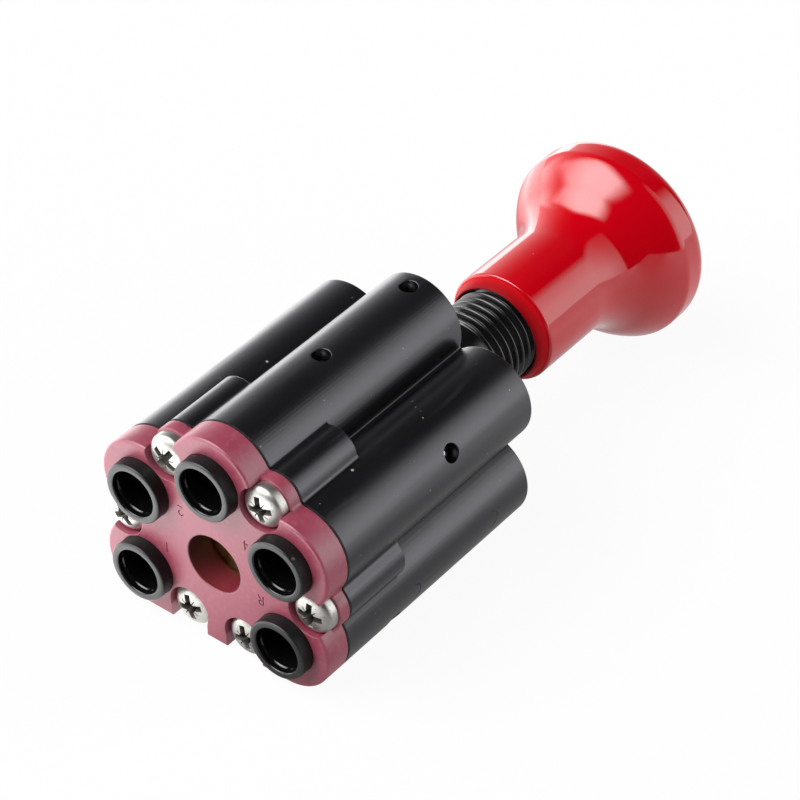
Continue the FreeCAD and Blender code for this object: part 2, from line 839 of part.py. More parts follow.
slot = new_sketch(spool, "driver_slot_section", "XZ_Plane", piston_face)
half_slot = S["slot_width"] / 2
reach = S["slot_reach"]
outline(slot, [(-reach, -half_slot), (reach, -half_slot), (reach, half_slot), (-reach, half_slot)])
cut_along(spool, slot, S["slot_depth"], "driver_slot")
place(spool)
keep(spool, "spool")

piston_ring_outer = S["liner_radius"] - S["piston_seal_clearance"]
piston_ring_radius = piston_ring_outer - S["piston_seal_section"] / 2
piston_middle = piston_face + S["piston_length"] / 2
spool_ring("piston_seal", piston_middle, piston_ring_radius, S["piston_seal_section"])

# Knob: a glossy moulded mushroom. Its hollow skirt runs over the neck and ends in a bevel,
# flares out into a rounded belly, and a short band carries the dome for the palm.
flare_turn = S["flare_angle"]
belly_turn = S["belly_end_angle"]
flare_start = skirt_end + S["skirt_length"]
bevel_end = skirt_end + S["skirt_bevel_length"]
skirt_tip = S["skirt_bore_radius"] + S["skirt_tip_width"]
flare_centre = (S["skirt_radius"] + S["flare_radius"], flare_start)
belly_foot = (
    S["skirt_radius"] + S["flare_radius"] * (1.0 - cosine(flare_turn)),
    flare_start + S["flare_radius"] * sine(flare_turn),
)
belly_radius = (S["rim_radius"] - belly_foot[0]) / (cosine(belly_turn) - cosine(flare_turn))
rim_start = belly_foot[1] + belly_radius * (sine(flare_turn) - sine(belly_turn))
belly_centre = (
    S["rim_radius"] - belly_radius * cosine(belly_turn),
    rim_start + belly_radius * sine(belly_turn),
)
rim_end = rim_start + S["rim_band"]
dome_rise = S["dome_rise"]
dome_top = rim_end + dome_rise
shoulder = S["dome_shoulder"]
shoulder_centre = (S["rim_radius"] - shoulder, rim_end)
# The dome's circle touches the circle of its shoulder where the two arcs meet.
dome_spread = shoulder_centre[0] * shoulder_centre[0] + dome_rise * dome_rise - shoulder * shoulder
dome_radius = dome_spread / ((dome_rise - shoulder) * 2.0)
dome_centre = (as_size(0.0), dome_top - dome_radius)
dome_share = dome_radius / (dome_radius - shoulder)
dome_foot = (shoulder_centre[0] * dome_share, dome_centre[1] + (rim_end - dome_centre[1]) * dome_share)
insert_pocket = S["insert_radius"] + S["insert_clearance"]
insert_end = insert_face + S["insert_length"]


def knob_arc(sketch, centre, radius, start, end):
    """An arc of the knob's half section from its start up round to its end, held by both."""
    angles = []
    for point in (start, end):
        angles.append(math.atan2((point[1] - centre[1]).value, (point[0] - centre[0]).value))
    middle = Vector(centre[0].value, centre[1].value, 0)
    circle = Part.Circle(middle, Vector(0, 0, 1), radius.value)
    index = sketch.addGeometry(Part.ArcOfCircle(circle, angles[0], angles[1]), False)
    fix_point(sketch, index, 1, *start)
    fix_point(sketch, index, 2, *end)
    fix(sketch, "Radius", (index,), radius)


def rings_at(body, radius, along):
    """Names of a turned body's round edges at a radius and a place along its axis."""
    names = []
    for number, edge in enumerate(body.Shape.Edges, start=1):
        corner = edge.Vertexes[0]
        off_radius = abs(math.hypot(corner.X, corner.Z) - radius.value)
        if len(edge.Vertexes) == 1 and off_radius < 0.01 and abs(corner.Y - along.value) < 0.01:
            names.append("Edge" + str(number))
    return names


knob = new_body("knob")
section = new_sketch(knob, "knob_section", "XY_Plane")
corners = [
    (S["skirt_radius"], flare_start),
    (S["skirt_radius"], bevel_end),
    (skirt_tip, skirt_end),
    (S["skirt_bore_radius"], skirt_end),
    (S["skirt_bore_radius"], insert_face),
    (insert_pocket, insert_face),
    (insert_pocket, insert_end),
    (as_size(0.0), insert_end),
    (as_size(0.0), dome_top),
    dome_foot,
    (S["rim_radius"], rim_end),
    (S["rim_radius"], rim_start),
    belly_foot,
]
arcs = {
    8: (dome_centre, dome_radius),
    9: (shoulder_centre, shoulder),
    11: (belly_centre, belly_radius),
    12: (flare_centre, S["flare_radius"]),
}
for index, here in enumerate(corners):
    there = corners[(index + 1) % len(corners)]
    if index in arcs:
        centre, radius = arcs[index]
        ends = (here, there) if centre is flare_centre else (there, here)
        knob_arc(section, centre, radius, *ends)
    else:
        start = Vector(here[0].value, here[1].value, 0)
        stop = Vector(there[0].value, there[1].value, 0)
        edge = section.addGeometry(Part.LineSegment(start, stop), False)
        fix_point(section, edge, 1, *here)
        fix_point(section, edge, 2, *there)
spin(knob, section, "knob_turning")
doc.recompute()
round_edges(knob, rings_at(knob, S["rim_radius"], rim_start), S["rim_edge_round"], "rim_edge")
round_edges(knob, rings_at(knob, S["skirt_radius"], bevel_end), S["skirt_lip_round"], "skirt_lip")
place(knob)
keep(knob, "knob")

# Knob insert: a grooved brass nut moulded into the knob
groove_half = S["insert_groove_width"] / 2
insert_middle = insert_face + S["insert_length"] / 2
insert_floor = S["insert_radius"] - S["insert_groove_depth"]
insert_bore = S["stem_thread_radius"] + S["stem_thread_clearance"]
insert = turned("insert", [
    (insert_bore, insert_face),
    (S["insert_radius"], insert_face),
    (S["insert_radius"], insert_middle - groove_half),
    (insert_floor, insert_middle - groove_half),
    (insert_floor, insert_middle + groove_half),
    (S["insert_radius"], insert_middle + groove_half),
    (S["insert_radius"], insert_end),
    (insert_bore, insert_end),
])
place(insert)
keep(insert, "knob_insert")

# Check every object before anything is written
doc.recompute()
faults = []
for thing in doc.Objects:
    if "Invalid" in thing.State or "Error" in thing.State:
        faults.append(thing.Label + " has state " + str(thing.State))
for thing in finished:
    if thing.Shape.isNull() or not thing.Shape.isValid() or not thing.Shape.Solids:
        faults.append(thing.Label + " has no valid solid")
if faults:
    raise RuntimeError("; ".join(faults))

os.makedirs("parts", exist_ok=True)
for thing in finished:
    thing.Shape.exportStep("parts/" + thing.Label + ".step")
print(len(finished), "sub-parts,", sum(len(thing.Shape.Solids) for thing in finished), "solids")
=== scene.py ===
import math

import bmesh
import bpy
from mathutils import Matrix, Vector


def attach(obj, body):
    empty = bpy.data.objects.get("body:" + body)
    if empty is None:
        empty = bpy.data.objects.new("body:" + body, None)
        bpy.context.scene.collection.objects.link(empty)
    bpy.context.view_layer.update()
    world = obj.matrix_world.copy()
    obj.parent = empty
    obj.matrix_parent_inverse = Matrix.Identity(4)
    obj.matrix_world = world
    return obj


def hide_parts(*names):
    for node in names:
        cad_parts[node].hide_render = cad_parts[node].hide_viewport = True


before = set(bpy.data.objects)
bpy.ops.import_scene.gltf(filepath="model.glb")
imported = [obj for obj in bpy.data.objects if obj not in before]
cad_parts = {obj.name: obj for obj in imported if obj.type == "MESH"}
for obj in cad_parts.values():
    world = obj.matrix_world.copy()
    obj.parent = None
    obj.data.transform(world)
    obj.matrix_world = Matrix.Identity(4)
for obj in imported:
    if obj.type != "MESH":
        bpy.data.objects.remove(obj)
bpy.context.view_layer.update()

# ---- Camera -----------------------------------------------------------------------------
# The camera stands in front of the port face, above it and to its right, and looks down
# the valve towards the knob, as in the photograph.
scene = bpy.context.scene
scene.view_settings.view_transform = "Standard"
camera_right = Vector((0.79084, 0.61197, 0.00874))
camera_up = Vector((-0.39658, 0.50152, 0.76891))
camera_ahead = Vector((-0.46616, 0.61154, -0.63931))
camera_place = (0.17806, -0.23781, 0.24613)
camera = bpy.data.objects.new("camera", bpy.data.cameras.new("camera"))
scene.collection.objects.link(camera)
camera.data.sensor_width = 36.0
camera.data.lens = 132.2
camera.data.clip_start = 0.01
turn = Matrix((camera_right, camera_up, -camera_ahead)).transposed().to_4x4()
camera.matrix_world = Matrix.Translation(camera_place) @ turn
scene.camera = camera

# ---- Table and light --------------------------------------------------------------------
# A sheet of white paper under the valve, which rests on the knob's rim and on the edge of
# its flat base, and four bright cloths round it. Sizes from here on are in millimetres, and
# places along the spool are counted from the port face.
MM = 0.001
PORT_FACE = -41.5
BASE_DROP = 13.145
RIM_RADIUS = 14.6
RIM_START = 83.46
PAPER_HALF = 3.0  # metres
LIGHT_LEVEL = 0.6
WHITE = (1.0, 1.0, 1.0, 1.0)


class Wire:
    """An output of a shader node that can be used in sums: each one adds a Math node."""

    def __init__(self, paint, socket):
        self.paint = paint
        self.socket = socket

    def maths(self, kind, *values):
        return self.paint.add("ShaderNodeMath", values, operation=kind)

    def part(self, axis):
        """One axis of a place."""
        return self.paint.add("ShaderNodeSeparateXYZ", {0: self}, axis)

    def __add__(self, other):
        return self.maths("ADD", self, other)

    def __radd__(self, other):
        return self.maths("ADD", other, self)

    def __sub__(self, other):
        return self.maths("SUBTRACT", self, other)

    def __rsub__(self, other):
        return self.maths("SUBTRACT", other, self)

    def __mul__(self, other):
        return self.maths("MULTIPLY", self, other)

    def __rmul__(self, other):
        return self.maths("MULTIPLY", other, self)

    def __pow__(self, other):
        return self.maths("POWER", self, other)

    def __lt__(self, other):
        return self.maths("LESS_THAN", self, other)

    def __gt__(self, other):
        return self.maths("GREATER_THAN", self, other)


class Paint:
    """One material or world, and the single way in which its nodes are added."""

    def __init__(self, block):
        block.use_nodes = True
        self.block = block
        self.tree = block.node_tree

    def add(self, kind, sockets=(), output=0, **settings):
        node = self.tree.nodes.new(kind)
        for key, value in settings.items():
            setattr(node, key, value)
        pairs = sockets.items() if isinstance(sockets, dict) else enumerate(sockets)
        for key, value in pairs:
            self.join(node.inputs[key], value)
        return Wire(self, node.outputs[output]) if node.outputs else None

    def join(self, socket, value):
        if isinstance(value, Wire):
            self.tree.links.new(value.socket, socket)
        else:
            socket.default_value = value

    def feed(self, name, value):
        """Joins a value to an input of the material's plain shader."""
        self.join(self.shader.inputs[name], value)


def between(value, low, high, to_low=0.0, to_high=1.0):
    """Brings what lies between two values to a range, and holds it there."""
    return value.paint.add("ShaderNodeMapRange", {"Value": value, "From Min": low, "From Max": high,
                                                  "To Min": to_low, "To Max": to_high})


paper = Paint(bpy.data.materials.new("white_paper"))
paper.tree.nodes.clear()
paper_spot = paper.add("ShaderNodeTexCoord", output="Object")
paper_x, paper_y = paper_spot.part("X"), paper_spot.part("Y")
# The paper also glows, most brightly at its front left and more towards its far side: a painted pool of light.
# Reflections see all of the glow, bounced light sees half of it, and the camera sees white paper.
glow_far_side = between(paper_x * 0.5 + paper_y, 0.02, 0.08, 0.42, 0.95)
glow_pool_near_left = between(paper_x + paper_y * 0.4, -0.012, -0.041, 0.0, 2.5)
diffuse = paper.add("ShaderNodeBsdfDiffuse", {"Color": (0.86, 0.86, 0.86, 1.0)})
white = paper.add("ShaderNodeEmission", {"Color": WHITE})
paper_glow = paper.add("ShaderNodeEmission", {"Color": glow_far_side + glow_pool_near_left})
seen = paper.add("ShaderNodeLightPath", output="Is Camera Ray")
mirrored = paper.add("ShaderNodeLightPath", output="Is Glossy Ray")
lit = paper.add("ShaderNodeMixShader", {0: seen * 0.94, 1: diffuse, 2: white})
glow = 1.0 - seen - (1.0 - mirrored) * (1.0 - seen) * 0.5
lit = paper.add("ShaderNodeMixShader", {0: glow, 1: lit, 2: paper_glow})
paper.add("ShaderNodeOutputMaterial", {"Surface": lit})

sheet = bpy.data.meshes.new("paper_sheet")
slope = (RIM_RADIUS - BASE_DROP) / (RIM_START + 1.0)
corners = []
for side_x, side_y in ((-1, -1), (1, -1), (1, 1), (-1, 1)):
    across, along = side_x * PAPER_HALF, side_y * PAPER_HALF
    fall = -BASE_DROP * MM - (along - PORT_FACE * MM) * slope
    corners.append((across, along, fall - 0.02 * MM))
sheet.from_pydata(corners, [], [(0, 1, 2, 3)])
sheet.materials.append(paper.block)
floor = bpy.data.objects.new("paper_sheet", sheet)
scene.collection.objects.link(floor)

scene.world = bpy.data.worlds.new("light_tent")
air = Paint(scene.world)
air.tree.nodes.clear()
towards = air.add("ShaderNodeTexCoord", output="Generated")


def heading(azimuth, elevation):
    """A direction out from the valve: the azimuth turns from +X to +Y."""
    turn, lift = math.radians(azimuth), math.radians(elevation)
    return Vector((math.cos(lift) * math.cos(turn), math.cos(lift) * math.sin(turn), math.sin(lift)))


def leaning(direction, low, high, to_low=0.0, to_high=1.0):
    """How far the view out into the tent leans to a direction, brought to a range."""
    lean = air.add("ShaderNodeVectorMath", {0: towards, 1: direction}, "Value", operation="DOT_PRODUCT")
    return between(lean, low, high, to_low, to_high)


def cloth(corners, strength):
    """One bright cloth of the light tent: the headings of its corners, counted anticlockwise
    as the valve sees them, each with the blur of the edge that follows it."""
    for index, (azimuth, elevation, blur) in enumerate(corners):
        after = corners[(index + 1) % len(corners)]
        edge = heading(azimuth, elevation).cross(heading(after[0], after[1])).normalized()
        strength = strength * leaning(edge, -blur, blur)
    return strength


up = Vector((0.0, 0.0, 1.0))
key = cloth(((-178.0, 20.0, 0.08), (-120.0, 20.0, 0.08), (-94.0, 44.0, 0.14),
             (-76.0, 66.0, 0.06), (-168.0, 60.0, 0.05)),
            leaning(heading(-130.0, 52.0), 0.78, 0.98, 3.6, 10.8))
side = cloth(((-9.0, -4.0, 0.05), (64.0, -4.0, 0.08), (47.0, 67.0, 0.05), (-25.0, 67.0, 0.02)),
             leaning(up, 0.30, 0.95, 3.5, 0.6))
side = side * leaning(heading(90.0, 0.0), -0.15, 0.30, 0.55, 1.0)
back = cloth(((78.0, -4.0, 0.12), (-168.0, -4.0, 0.14), (-168.0, 48.0, 0.08), (78.0, 48.0, 0.12)),
             leaning(heading(180.0, -10.0), 0.25, 0.98, 0.4, 2.3))
back = back * leaning(up, 0.05, 0.75, 1.0, 0.12)
apron = cloth(((172.0, -4.0, 0.04), (-132.0, -4.0, 0.1), (-136.0, 24.0, 0.10), (172.0, 24.0, 0.04)),
              leaning(up, -0.05, 0.35, 4.4, 0.6))
tent = (key + side + back + apron + 0.01) * LIGHT_LEVEL
seen = air.add("ShaderNodeLightPath", output="Is Camera Ray")
around = air.add("ShaderNodeBackground", {"Color": tent})
clear = air.add("ShaderNodeBackground", {"Color": WHITE})
sky = air.add("ShaderNodeMixShader", {0: seen, 1: around, 2: clear})
air.add("ShaderNodeOutputWorld", {"Surface": sky})

# ---- Housing ----------------------------------------------------------------------------
# Moulded in one piece from black nylon with a satin skin. Five round lobes stand about the
# bore, with a flat base below and four short bosses for the plate's screws between them.
PORT_CIRCLE = 13.05
LOBE_RADIUS = 6.62
CORE_RADIUS = 12.0
BOSS_CIRCLE = 14.94
BOSS_RADIUS = 3.3
VALLEY_ROUND = 0.25
INNER_FILLET = 0.9
HOUSING_FRONT = 4.25
BOSS_END = 15.0
PANEL_SEAT = 41.5
LOBE_ANGLES = {1: 210.0, 2: 150.0, 5: 90.0, 4: 30.0, 3: -30.0}
SCREW_ANGLES = (180.0, 120.0, 60.0, 0.0)
LOW_SCREWS = ((-4.5, -10.05), (4.5, -10.05))
SPOOL_BORE = 6.2
FLANGE_SEAT = 8.2
FLANGE_FLOOR = 39.9
FLANGE_CHAMFER = 0.15
CARTRIDGE_RADIUS = 5.0
CARTRIDGE_END = 11.6
TUBE_STOP_RADIUS = 3.1
TUBE_STOP_END = 12.7
CHANNEL_RADIUS = 2.0
CHANNEL_BEYOND = 1.55
PILOT_RADIUS = 1.5
PILOT_END = 12.7
DRILLINGS = ((5, 38.8), (2, 34.4), (1, 30.0), (4, 25.6), (5, 21.2), (3, 14.2))
DRILLING_RADIUS = 1.25
DRILLING_LIP = 0.14
DRILLING_FLOOR = 5.2
PIN_MARKS = ((17.92, -8.1, -6.3), (17.87, -24.2, -7.2))
PIN_RIM = (1.15, 1.37)


def polar(radius, angle):
    """Across and up, or across and along, of a point at a radius and an angle in degrees."""
    turn = math.radians(angle)
    return radius * math.cos(turn), radius * math.sin(turn)


LOBES = [(*polar(PORT_CIRCLE, angle), LOBE_RADIUS) for angle in LOBE_ANGLES.values()]
BOSSES = [(*polar(BOSS_CIRCLE, angle), BOSS_RADIUS) for angle in SCREW_ANGLES]
lobe_ahead, lobe_aside = polar(PORT_CIRCLE, 30.0)
valley_centre = lobe_ahead + math.sqrt((LOBE_RADIUS + VALLEY_ROUND) ** 2 - lobe_aside ** 2)


def shrunk(discs, shrink):
    """The same discs with smaller radii, for a rounded edge."""
    return [(across, up, radius - shrink) for across, up, radius in discs]


def reaches(angle, discs, shrink):
    """How far each disc, the core and the flat base reach from the axis at an angle."""
    ray_x, ray_z = polar(1.0, angle)
    found = [CORE_RADIUS - shrink * 0.2]
    for across, up, radius in discs:
        ahead = across * ray_x + up * ray_z
        aside = up * ray_x - across * ray_z
        room = (radius - shrink) ** 2 - aside ** 2
        found.append(ahead + math.sqrt(room) if room > 0.0 else 0.0)
    inner = 0.0
    for middle in SCREW_ANGLES:
        ahead, aside = polar(valley_centre, angle - middle)
        room = (VALLEY_ROUND + shrink) ** 2 - aside ** 2
        if room > 0.0 and ahead > 0.0:
            inner = ahead - math.sqrt(room)
    if ray_z < -0.5:
        base = (BASE_DROP - shrink) / -ray_z
        if abs(base * ray_x) < lobe_ahead:
            inner = max(base, inner)
    found.append(inner)
    return found


def ring_angles(layouts, step):
    """Angles that step evenly along each arc of the outlines, closer at their inner corners."""
    angles = []
    scan_step = 0.05
    scan = [index * scan_step for index in range(round(360.0 / scan_step))]
    for discs in layouts:
        winners = []
        for angle in scan:
            found = reaches(angle, discs, 0.0)
            winners.append((found.index(max(found)), max(found)))
        travelled = 0.0
        for index, angle in enumerate(scan):
            who, reach = winners[index]
            before_who, before_reach = winners[index - 1]
            travelled += math.hypot(reach - before_reach, math.radians(scan_step) * reach)
            if who != before_who:
                angles += [angle + shift for shift in (-1.0, -0.6, -0.35, -0.15, 0.0, 0.15, 0.35, 0.6, 1.0)]
            if travelled >= step:
                angles.append(angle)
                travelled = 0.0
    angles = sorted(angle % 360.0 for angle in angles)
    return [angle for index, angle in enumerate(angles) if index == 0 or angle - angles[index - 1] > 0.04]


def level(corners, along):
    """The corners of a section as points, at a place along the spool."""
    return [Vector((across, along + PORT_FACE, up)) for across, up in corners]


def lobed_ring(angles, discs, along, shrink=0.0):
    """One ring of the lobed outline, with its inner corners filled a little."""
    ring = []
    for angle in angles:
        *rounds, inner = reaches(angle, discs, shrink)
        first, second = sorted(rounds, reverse=True)[:2]
        close = max(INNER_FILLET - (first - second), 0.0) / INNER_FILLET
        ring.append(polar(max(first + close * close * INNER_FILLET / 4.0, inner), angle))
    return level(ring, along)


def skinned(name, rings, loop=False):
    """A closed mesh object, in millimetres, through rings of equally many points."""
    mesh = bmesh.new()
    rows = [[mesh.verts.new(point) for point in ring] for ring in rings]
    count = len(rows[0])
    for here, there in zip(rows, rows[1:] + (rows[:1] if loop else [])):
        for index in range(count):
            after = (index + 1) % count
            mesh.faces.new((here[index], here[after], there[after], there[index]))
    if not loop:
        mesh.faces.new(rows[0])
        mesh.faces.new(rows[-1][::-1])
    bmesh.ops.remove_doubles(mesh, verts=mesh.verts, dist=0.0002)
    bmesh.ops.dissolve_degenerate(mesh, dist=0.0002, edges=mesh.edges)
    bmesh.ops.recalc_face_normals(mesh, faces=mesh.faces)
    data = bpy.data.meshes.new(name)
    mesh.to_mesh(data)
    mesh.free()
    thing = bpy.data.objects.new(name, data)
    scene.collection.objects.link(thing)
    return thing


def bow(centre, radius, first, last, steps):
    """Points along an arc of a section, from one angle to another."""
    found = []
    for index in range(steps + 1):
        across, along = polar(radius, first + (last - first) * index / steps)
        found.append((centre[0] + across, centre[1] + along))
    return found


def lathe(name, profile, centre=(0.0, 0.0), steps=96, loop=True):
    """A turned piece: a half section of radius and place along the spool, spun at a centre."""
    rings = []
    for radius, along in profile:
        spun = [polar(radius, 360.0 * index / steps) for index in range(steps)]
        rings.append(level([(centre[0] + across, centre[1] + up) for across, up in spun], along))
    return skinned(name, rings, loop)


def drill_bit(start, end, radius, centre=(0.0, 0.0), lip=0.0, steps=64):
    """A cutter along the spool whose mouth, at its start, rolls over by the lip."""
    profile = [(0.0, end), (radius, end)] + bow((radius + lip, start + lip), lip, 180.0, 270.0, 4)
    profile += [(radius + lip, start - 2.0), (0.0, start - 2.0)]
    return lathe("cutter", profile, centre, steps, loop=False)


def settle(piece):
    """Turns what the modifiers make into the piece's own mesh."""
    layers = bpy.context.evaluated_depsgraph_get()
    result = bpy.data.meshes.new_from_object(piece.evaluated_get(layers), depsgraph=layers)
    result.name = piece.name
    piece.modifiers.clear()
    piece.data = result


def carve(piece, cutters):
    """Cuts the tools out of the piece and throws the tools away."""
    for cutter in cutters:
        cut = piece.modifiers.new("cut", "BOOLEAN")
        cut.operation = "DIFFERENCE"
        cut.solver = "MANIFOLD"
        cut.object = cutter
    settle(piece)
    for cutter in cutters:
        bpy.data.objects.remove(cutter)


def dress(piece, paint, angle=32.0):
    """Brings a finished mesh to metres, shades it smoothly between its sharp edges and gives
    it its material."""
    mesh = bmesh.new()
    mesh.from_mesh(piece.data)
    bmesh.ops.remove_doubles(mesh, verts=mesh.verts, dist=0.0003)
    bmesh.ops.scale(mesh, vec=(MM, MM, MM), verts=mesh.verts)
    for face in mesh.faces:
        face.smooth = True
    for edge in mesh.edges:
        edge.smooth = edge.calc_face_angle(math.pi) < math.radians(angle)
    mesh.to_mesh(piece.data)
    mesh.free()
    weigh = piece.modifiers.new("weigh", "WEIGHTED_NORMAL")
    weigh.keep_sharp = True
    weigh.weight = 80
    settle(piece)
    if paint is not None:
        piece.data.materials.clear()
        piece.data.materials.append(paint.block)


def shade(red, green, blue):
    """A colour as it looks on screen, in parts of 255, as Blender's own linear colour."""
    parts = [value / 255.0 for value in (red, green, blue)]
    linear = [p / 12.92 if p <= 0.04045 else ((p + 0.055) / 1.055) ** 2.4 for p in parts]
    return (*linear, 1.0)


def finish(name, colour, constants):
    """A new material with a plain shader, ready for its patterns."""
    paint = Paint(bpy.data.materials.new(name))
    paint.shader = paint.tree.nodes["Principled BSDF"]
    paint.feed("Base Color", colour)
    for key, value in constants.items():
        paint.feed(key, value)
    paint.spot = paint.add("ShaderNodeTexCoord", output="Object")
    return paint


def grain(paint, scale, detail=2.0, stretch=None):
    """Noise over the piece, drawn out along one direction if asked."""
    place = paint.spot
    if stretch:
        place = paint.add("ShaderNodeMapping", {"Vector": place, "Scale": stretch})
    return paint.add("ShaderNodeTexNoise", {"Vector": place, "Scale": scale, "Detail": detail})


def mixed(share, first, second):
    """The first colour, with a share of the second."""
    return share.paint.add("ShaderNodeMix", {"Factor": share, 6: first, 7: second}, 2, data_type="RGBA")


def dust(paint, scale, amount, size):
    """Small specks: a few cells of a pattern hold one each, of uneven size."""
    cells = {"Vector": paint.spot, "Scale": scale, "Randomness": 1.0}
    pattern = paint.add("ShaderNodeTexVoronoi", cells)
    draw = paint.add("ShaderNodeTexVoronoi", cells, "Color")
    pick, big = (paint.add("ShaderNodeSeparateColor", {0: draw}, part) for part in (0, 1))
    return (pick > 1.0 - amount) * (pattern < big * size)


def relief(paint, height, strength, depth):
    """Bumps the skin. Where the height is one, it stands out by the depth, in metres."""
    paint.feed("Normal", paint.add("ShaderNodeBump", {"Strength": strength, "Distance": depth,
                                                      "Height": height}))


body_black = finish("black_nylon", shade(15, 15, 17), {
    "Roughness": 0.3, "Specular IOR Level": 1.0, "Specular Tint": (0.94, 0.93, 1.0, 1.0)})
cloud = grain(body_black, 180.0, 3.0, (1.0, 0.35, 1.0))
spark = grain(body_black, 5200.0)
rubs = between(grain(body_black, 900.0, 4.0, (1.0, 0.08, 1.0)), 0.60, 0.74)
specks = dust(body_black, 420.0, 0.16, 0.10)
motes = dust(body_black, 950.0, 0.30, 0.11)
pin_marks = 0.0
for centre in PIN_MARKS:
    place = tuple(value * MM for value in centre)
    off = body_black.add("ShaderNodeVectorMath", {0: body_black.spot, 1: place}, "Value",
                         operation="DISTANCE")
    arc = (off > PIN_RIM[0] * MM) * (off < PIN_RIM[1] * MM)
    pin_marks = pin_marks + arc * (body_black.spot.part("Y") > place[1])
skin = mixed(between(cloud, 0.3, 0.7), shade(11, 11, 13), shade(17, 17, 19))
skin = mixed(rubs * 0.2, skin, shade(44, 44, 46))
body_black.feed("Base Color", mixed(specks * 0.85 + motes * 0.4, skin, shade(190, 190, 188)))
coarse = between(cloud, 0.25, 0.75, 0.27, 0.34) + rubs * 0.1 + specks * 0.3
body_black.feed("Roughness", coarse + pin_marks * 0.45)
relief(body_black, spark * 0.6 + rubs * 0.5 + specks * 1.5 - pin_marks * 3.0, 0.35, 0.00003)

block_angles = ring_angles((LOBES + BOSSES, LOBES), 0.42)
rings = [lobed_ring(block_angles, LOBES + BOSSES, HOUSING_FRONT),
         lobed_ring(block_angles, LOBES + BOSSES, BOSS_END - 0.3)]
for along, shrink in ((0.18, 0.03), (0.08, 0.10), (0.0, 0.25)):
    rings.append(lobed_ring(block_angles, LOBES + shrunk(BOSSES, shrink), BOSS_END - along))
rings.append(lobed_ring(block_angles, LOBES, BOSS_END))
for along, shrink in ((0.25, 0.0), (0.12, 0.03), (0.04, 0.10), (0.0, 0.22)):
    rings.append(lobed_ring(block_angles, LOBES, PANEL_SEAT - along, shrink))
housing = skinned("lobed_housing", rings)


def side_bit(port, along):
    """The cutter of one cross drilling. Its mouth follows the round of the lobe."""
    out_x, out_z = polar(1.0, LOBE_ANGLES[port])
    steps = 40
    rows = [(DRILLING_RADIUS, None), (DRILLING_RADIUS, DRILLING_LIP + 0.1)]
    rows += bow((DRILLING_RADIUS + DRILLING_LIP, DRILLING_LIP), DRILLING_LIP, 180.0, 270.0, 3)
    rows.append((DRILLING_RADIUS + DRILLING_LIP, -0.8))
    rings = []
    for radius, depth in rows:
        ring = []
        for index in range(steps):
            ahead, aside = polar(radius, 360.0 * index / steps)
            reach = DRILLING_FLOOR
            if depth is not None:
                reach = PORT_CIRCLE + math.sqrt(LOBE_RADIUS ** 2 - aside ** 2) - depth
            across = out_x * reach - out_z * aside
            up = out_z * reach + out_x * aside
            ring.append(Vector((across, along + ahead + PORT_FACE, up)))
        rings.append(ring)
    return skinned("cutter", rings)


cutters = [drill_bit(HOUSING_FRONT, PANEL_SEAT + 1.0, SPOOL_BORE)]
wide = FLANGE_SEAT + FLANGE_CHAMFER
seat = [(0.0, FLANGE_FLOOR), (FLANGE_SEAT, FLANGE_FLOOR), (FLANGE_SEAT, PANEL_SEAT - FLANGE_CHAMFER),
        (wide, PANEL_SEAT), (wide, PANEL_SEAT + 1.5), (0.0, PANEL_SEAT + 1.5)]
cutters.append(lathe("cutter", seat, loop=False))
far_station = {port: along for port, along in reversed(DRILLINGS)}
for port, angle in LOBE_ANGLES.items():
    centre = polar(PORT_CIRCLE, angle)
    channel_end = far_station[port] + CHANNEL_BEYOND
    cutters.append(drill_bit(HOUSING_FRONT, CARTRIDGE_END, CARTRIDGE_RADIUS, centre))
    cutters.append(drill_bit(CARTRIDGE_END - 0.6, TUBE_STOP_END, TUBE_STOP_RADIUS, centre, steps=48))
    cutters.append(drill_bit(TUBE_STOP_END - 0.7, channel_end, CHANNEL_RADIUS, centre, steps=32))
screw_seats = [polar(BOSS_CIRCLE, angle) for angle in SCREW_ANGLES] + [*LOW_SCREWS]
cutters += [drill_bit(HOUSING_FRONT, PILOT_END, PILOT_RADIUS, seat, steps=32) for seat in screw_seats]
cutters += [side_bit(port, along) for port, along in DRILLINGS]
carve(housing, cutters)
dress(housing, body_black)
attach(housing, "valve_body")
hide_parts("housing")

# ---- Ball plugs -------------------------------------------------------------------------
# Six polished steel balls. Each is pressed into the mouth of a cross drilling, just below
# the skin of its lobe, to close it.
BALL_CIRCLE = 17.17
steel_ball = finish("polished_ball", shade(205, 205, 205), {"Metallic": 1.0, "Roughness": 0.14})
smear = grain(steel_ball, 900.0)
steel_ball.feed("Roughness", between(smear, 0.3, 0.7, 0.10, 0.24))
steel_ball.feed("Base Color", mixed(between(smear, 0.4, 0.75), shade(200, 200, 202), shade(165, 163, 160)))
relief(steel_ball, grain(steel_ball, 6000.0), 0.1, 0.00001)


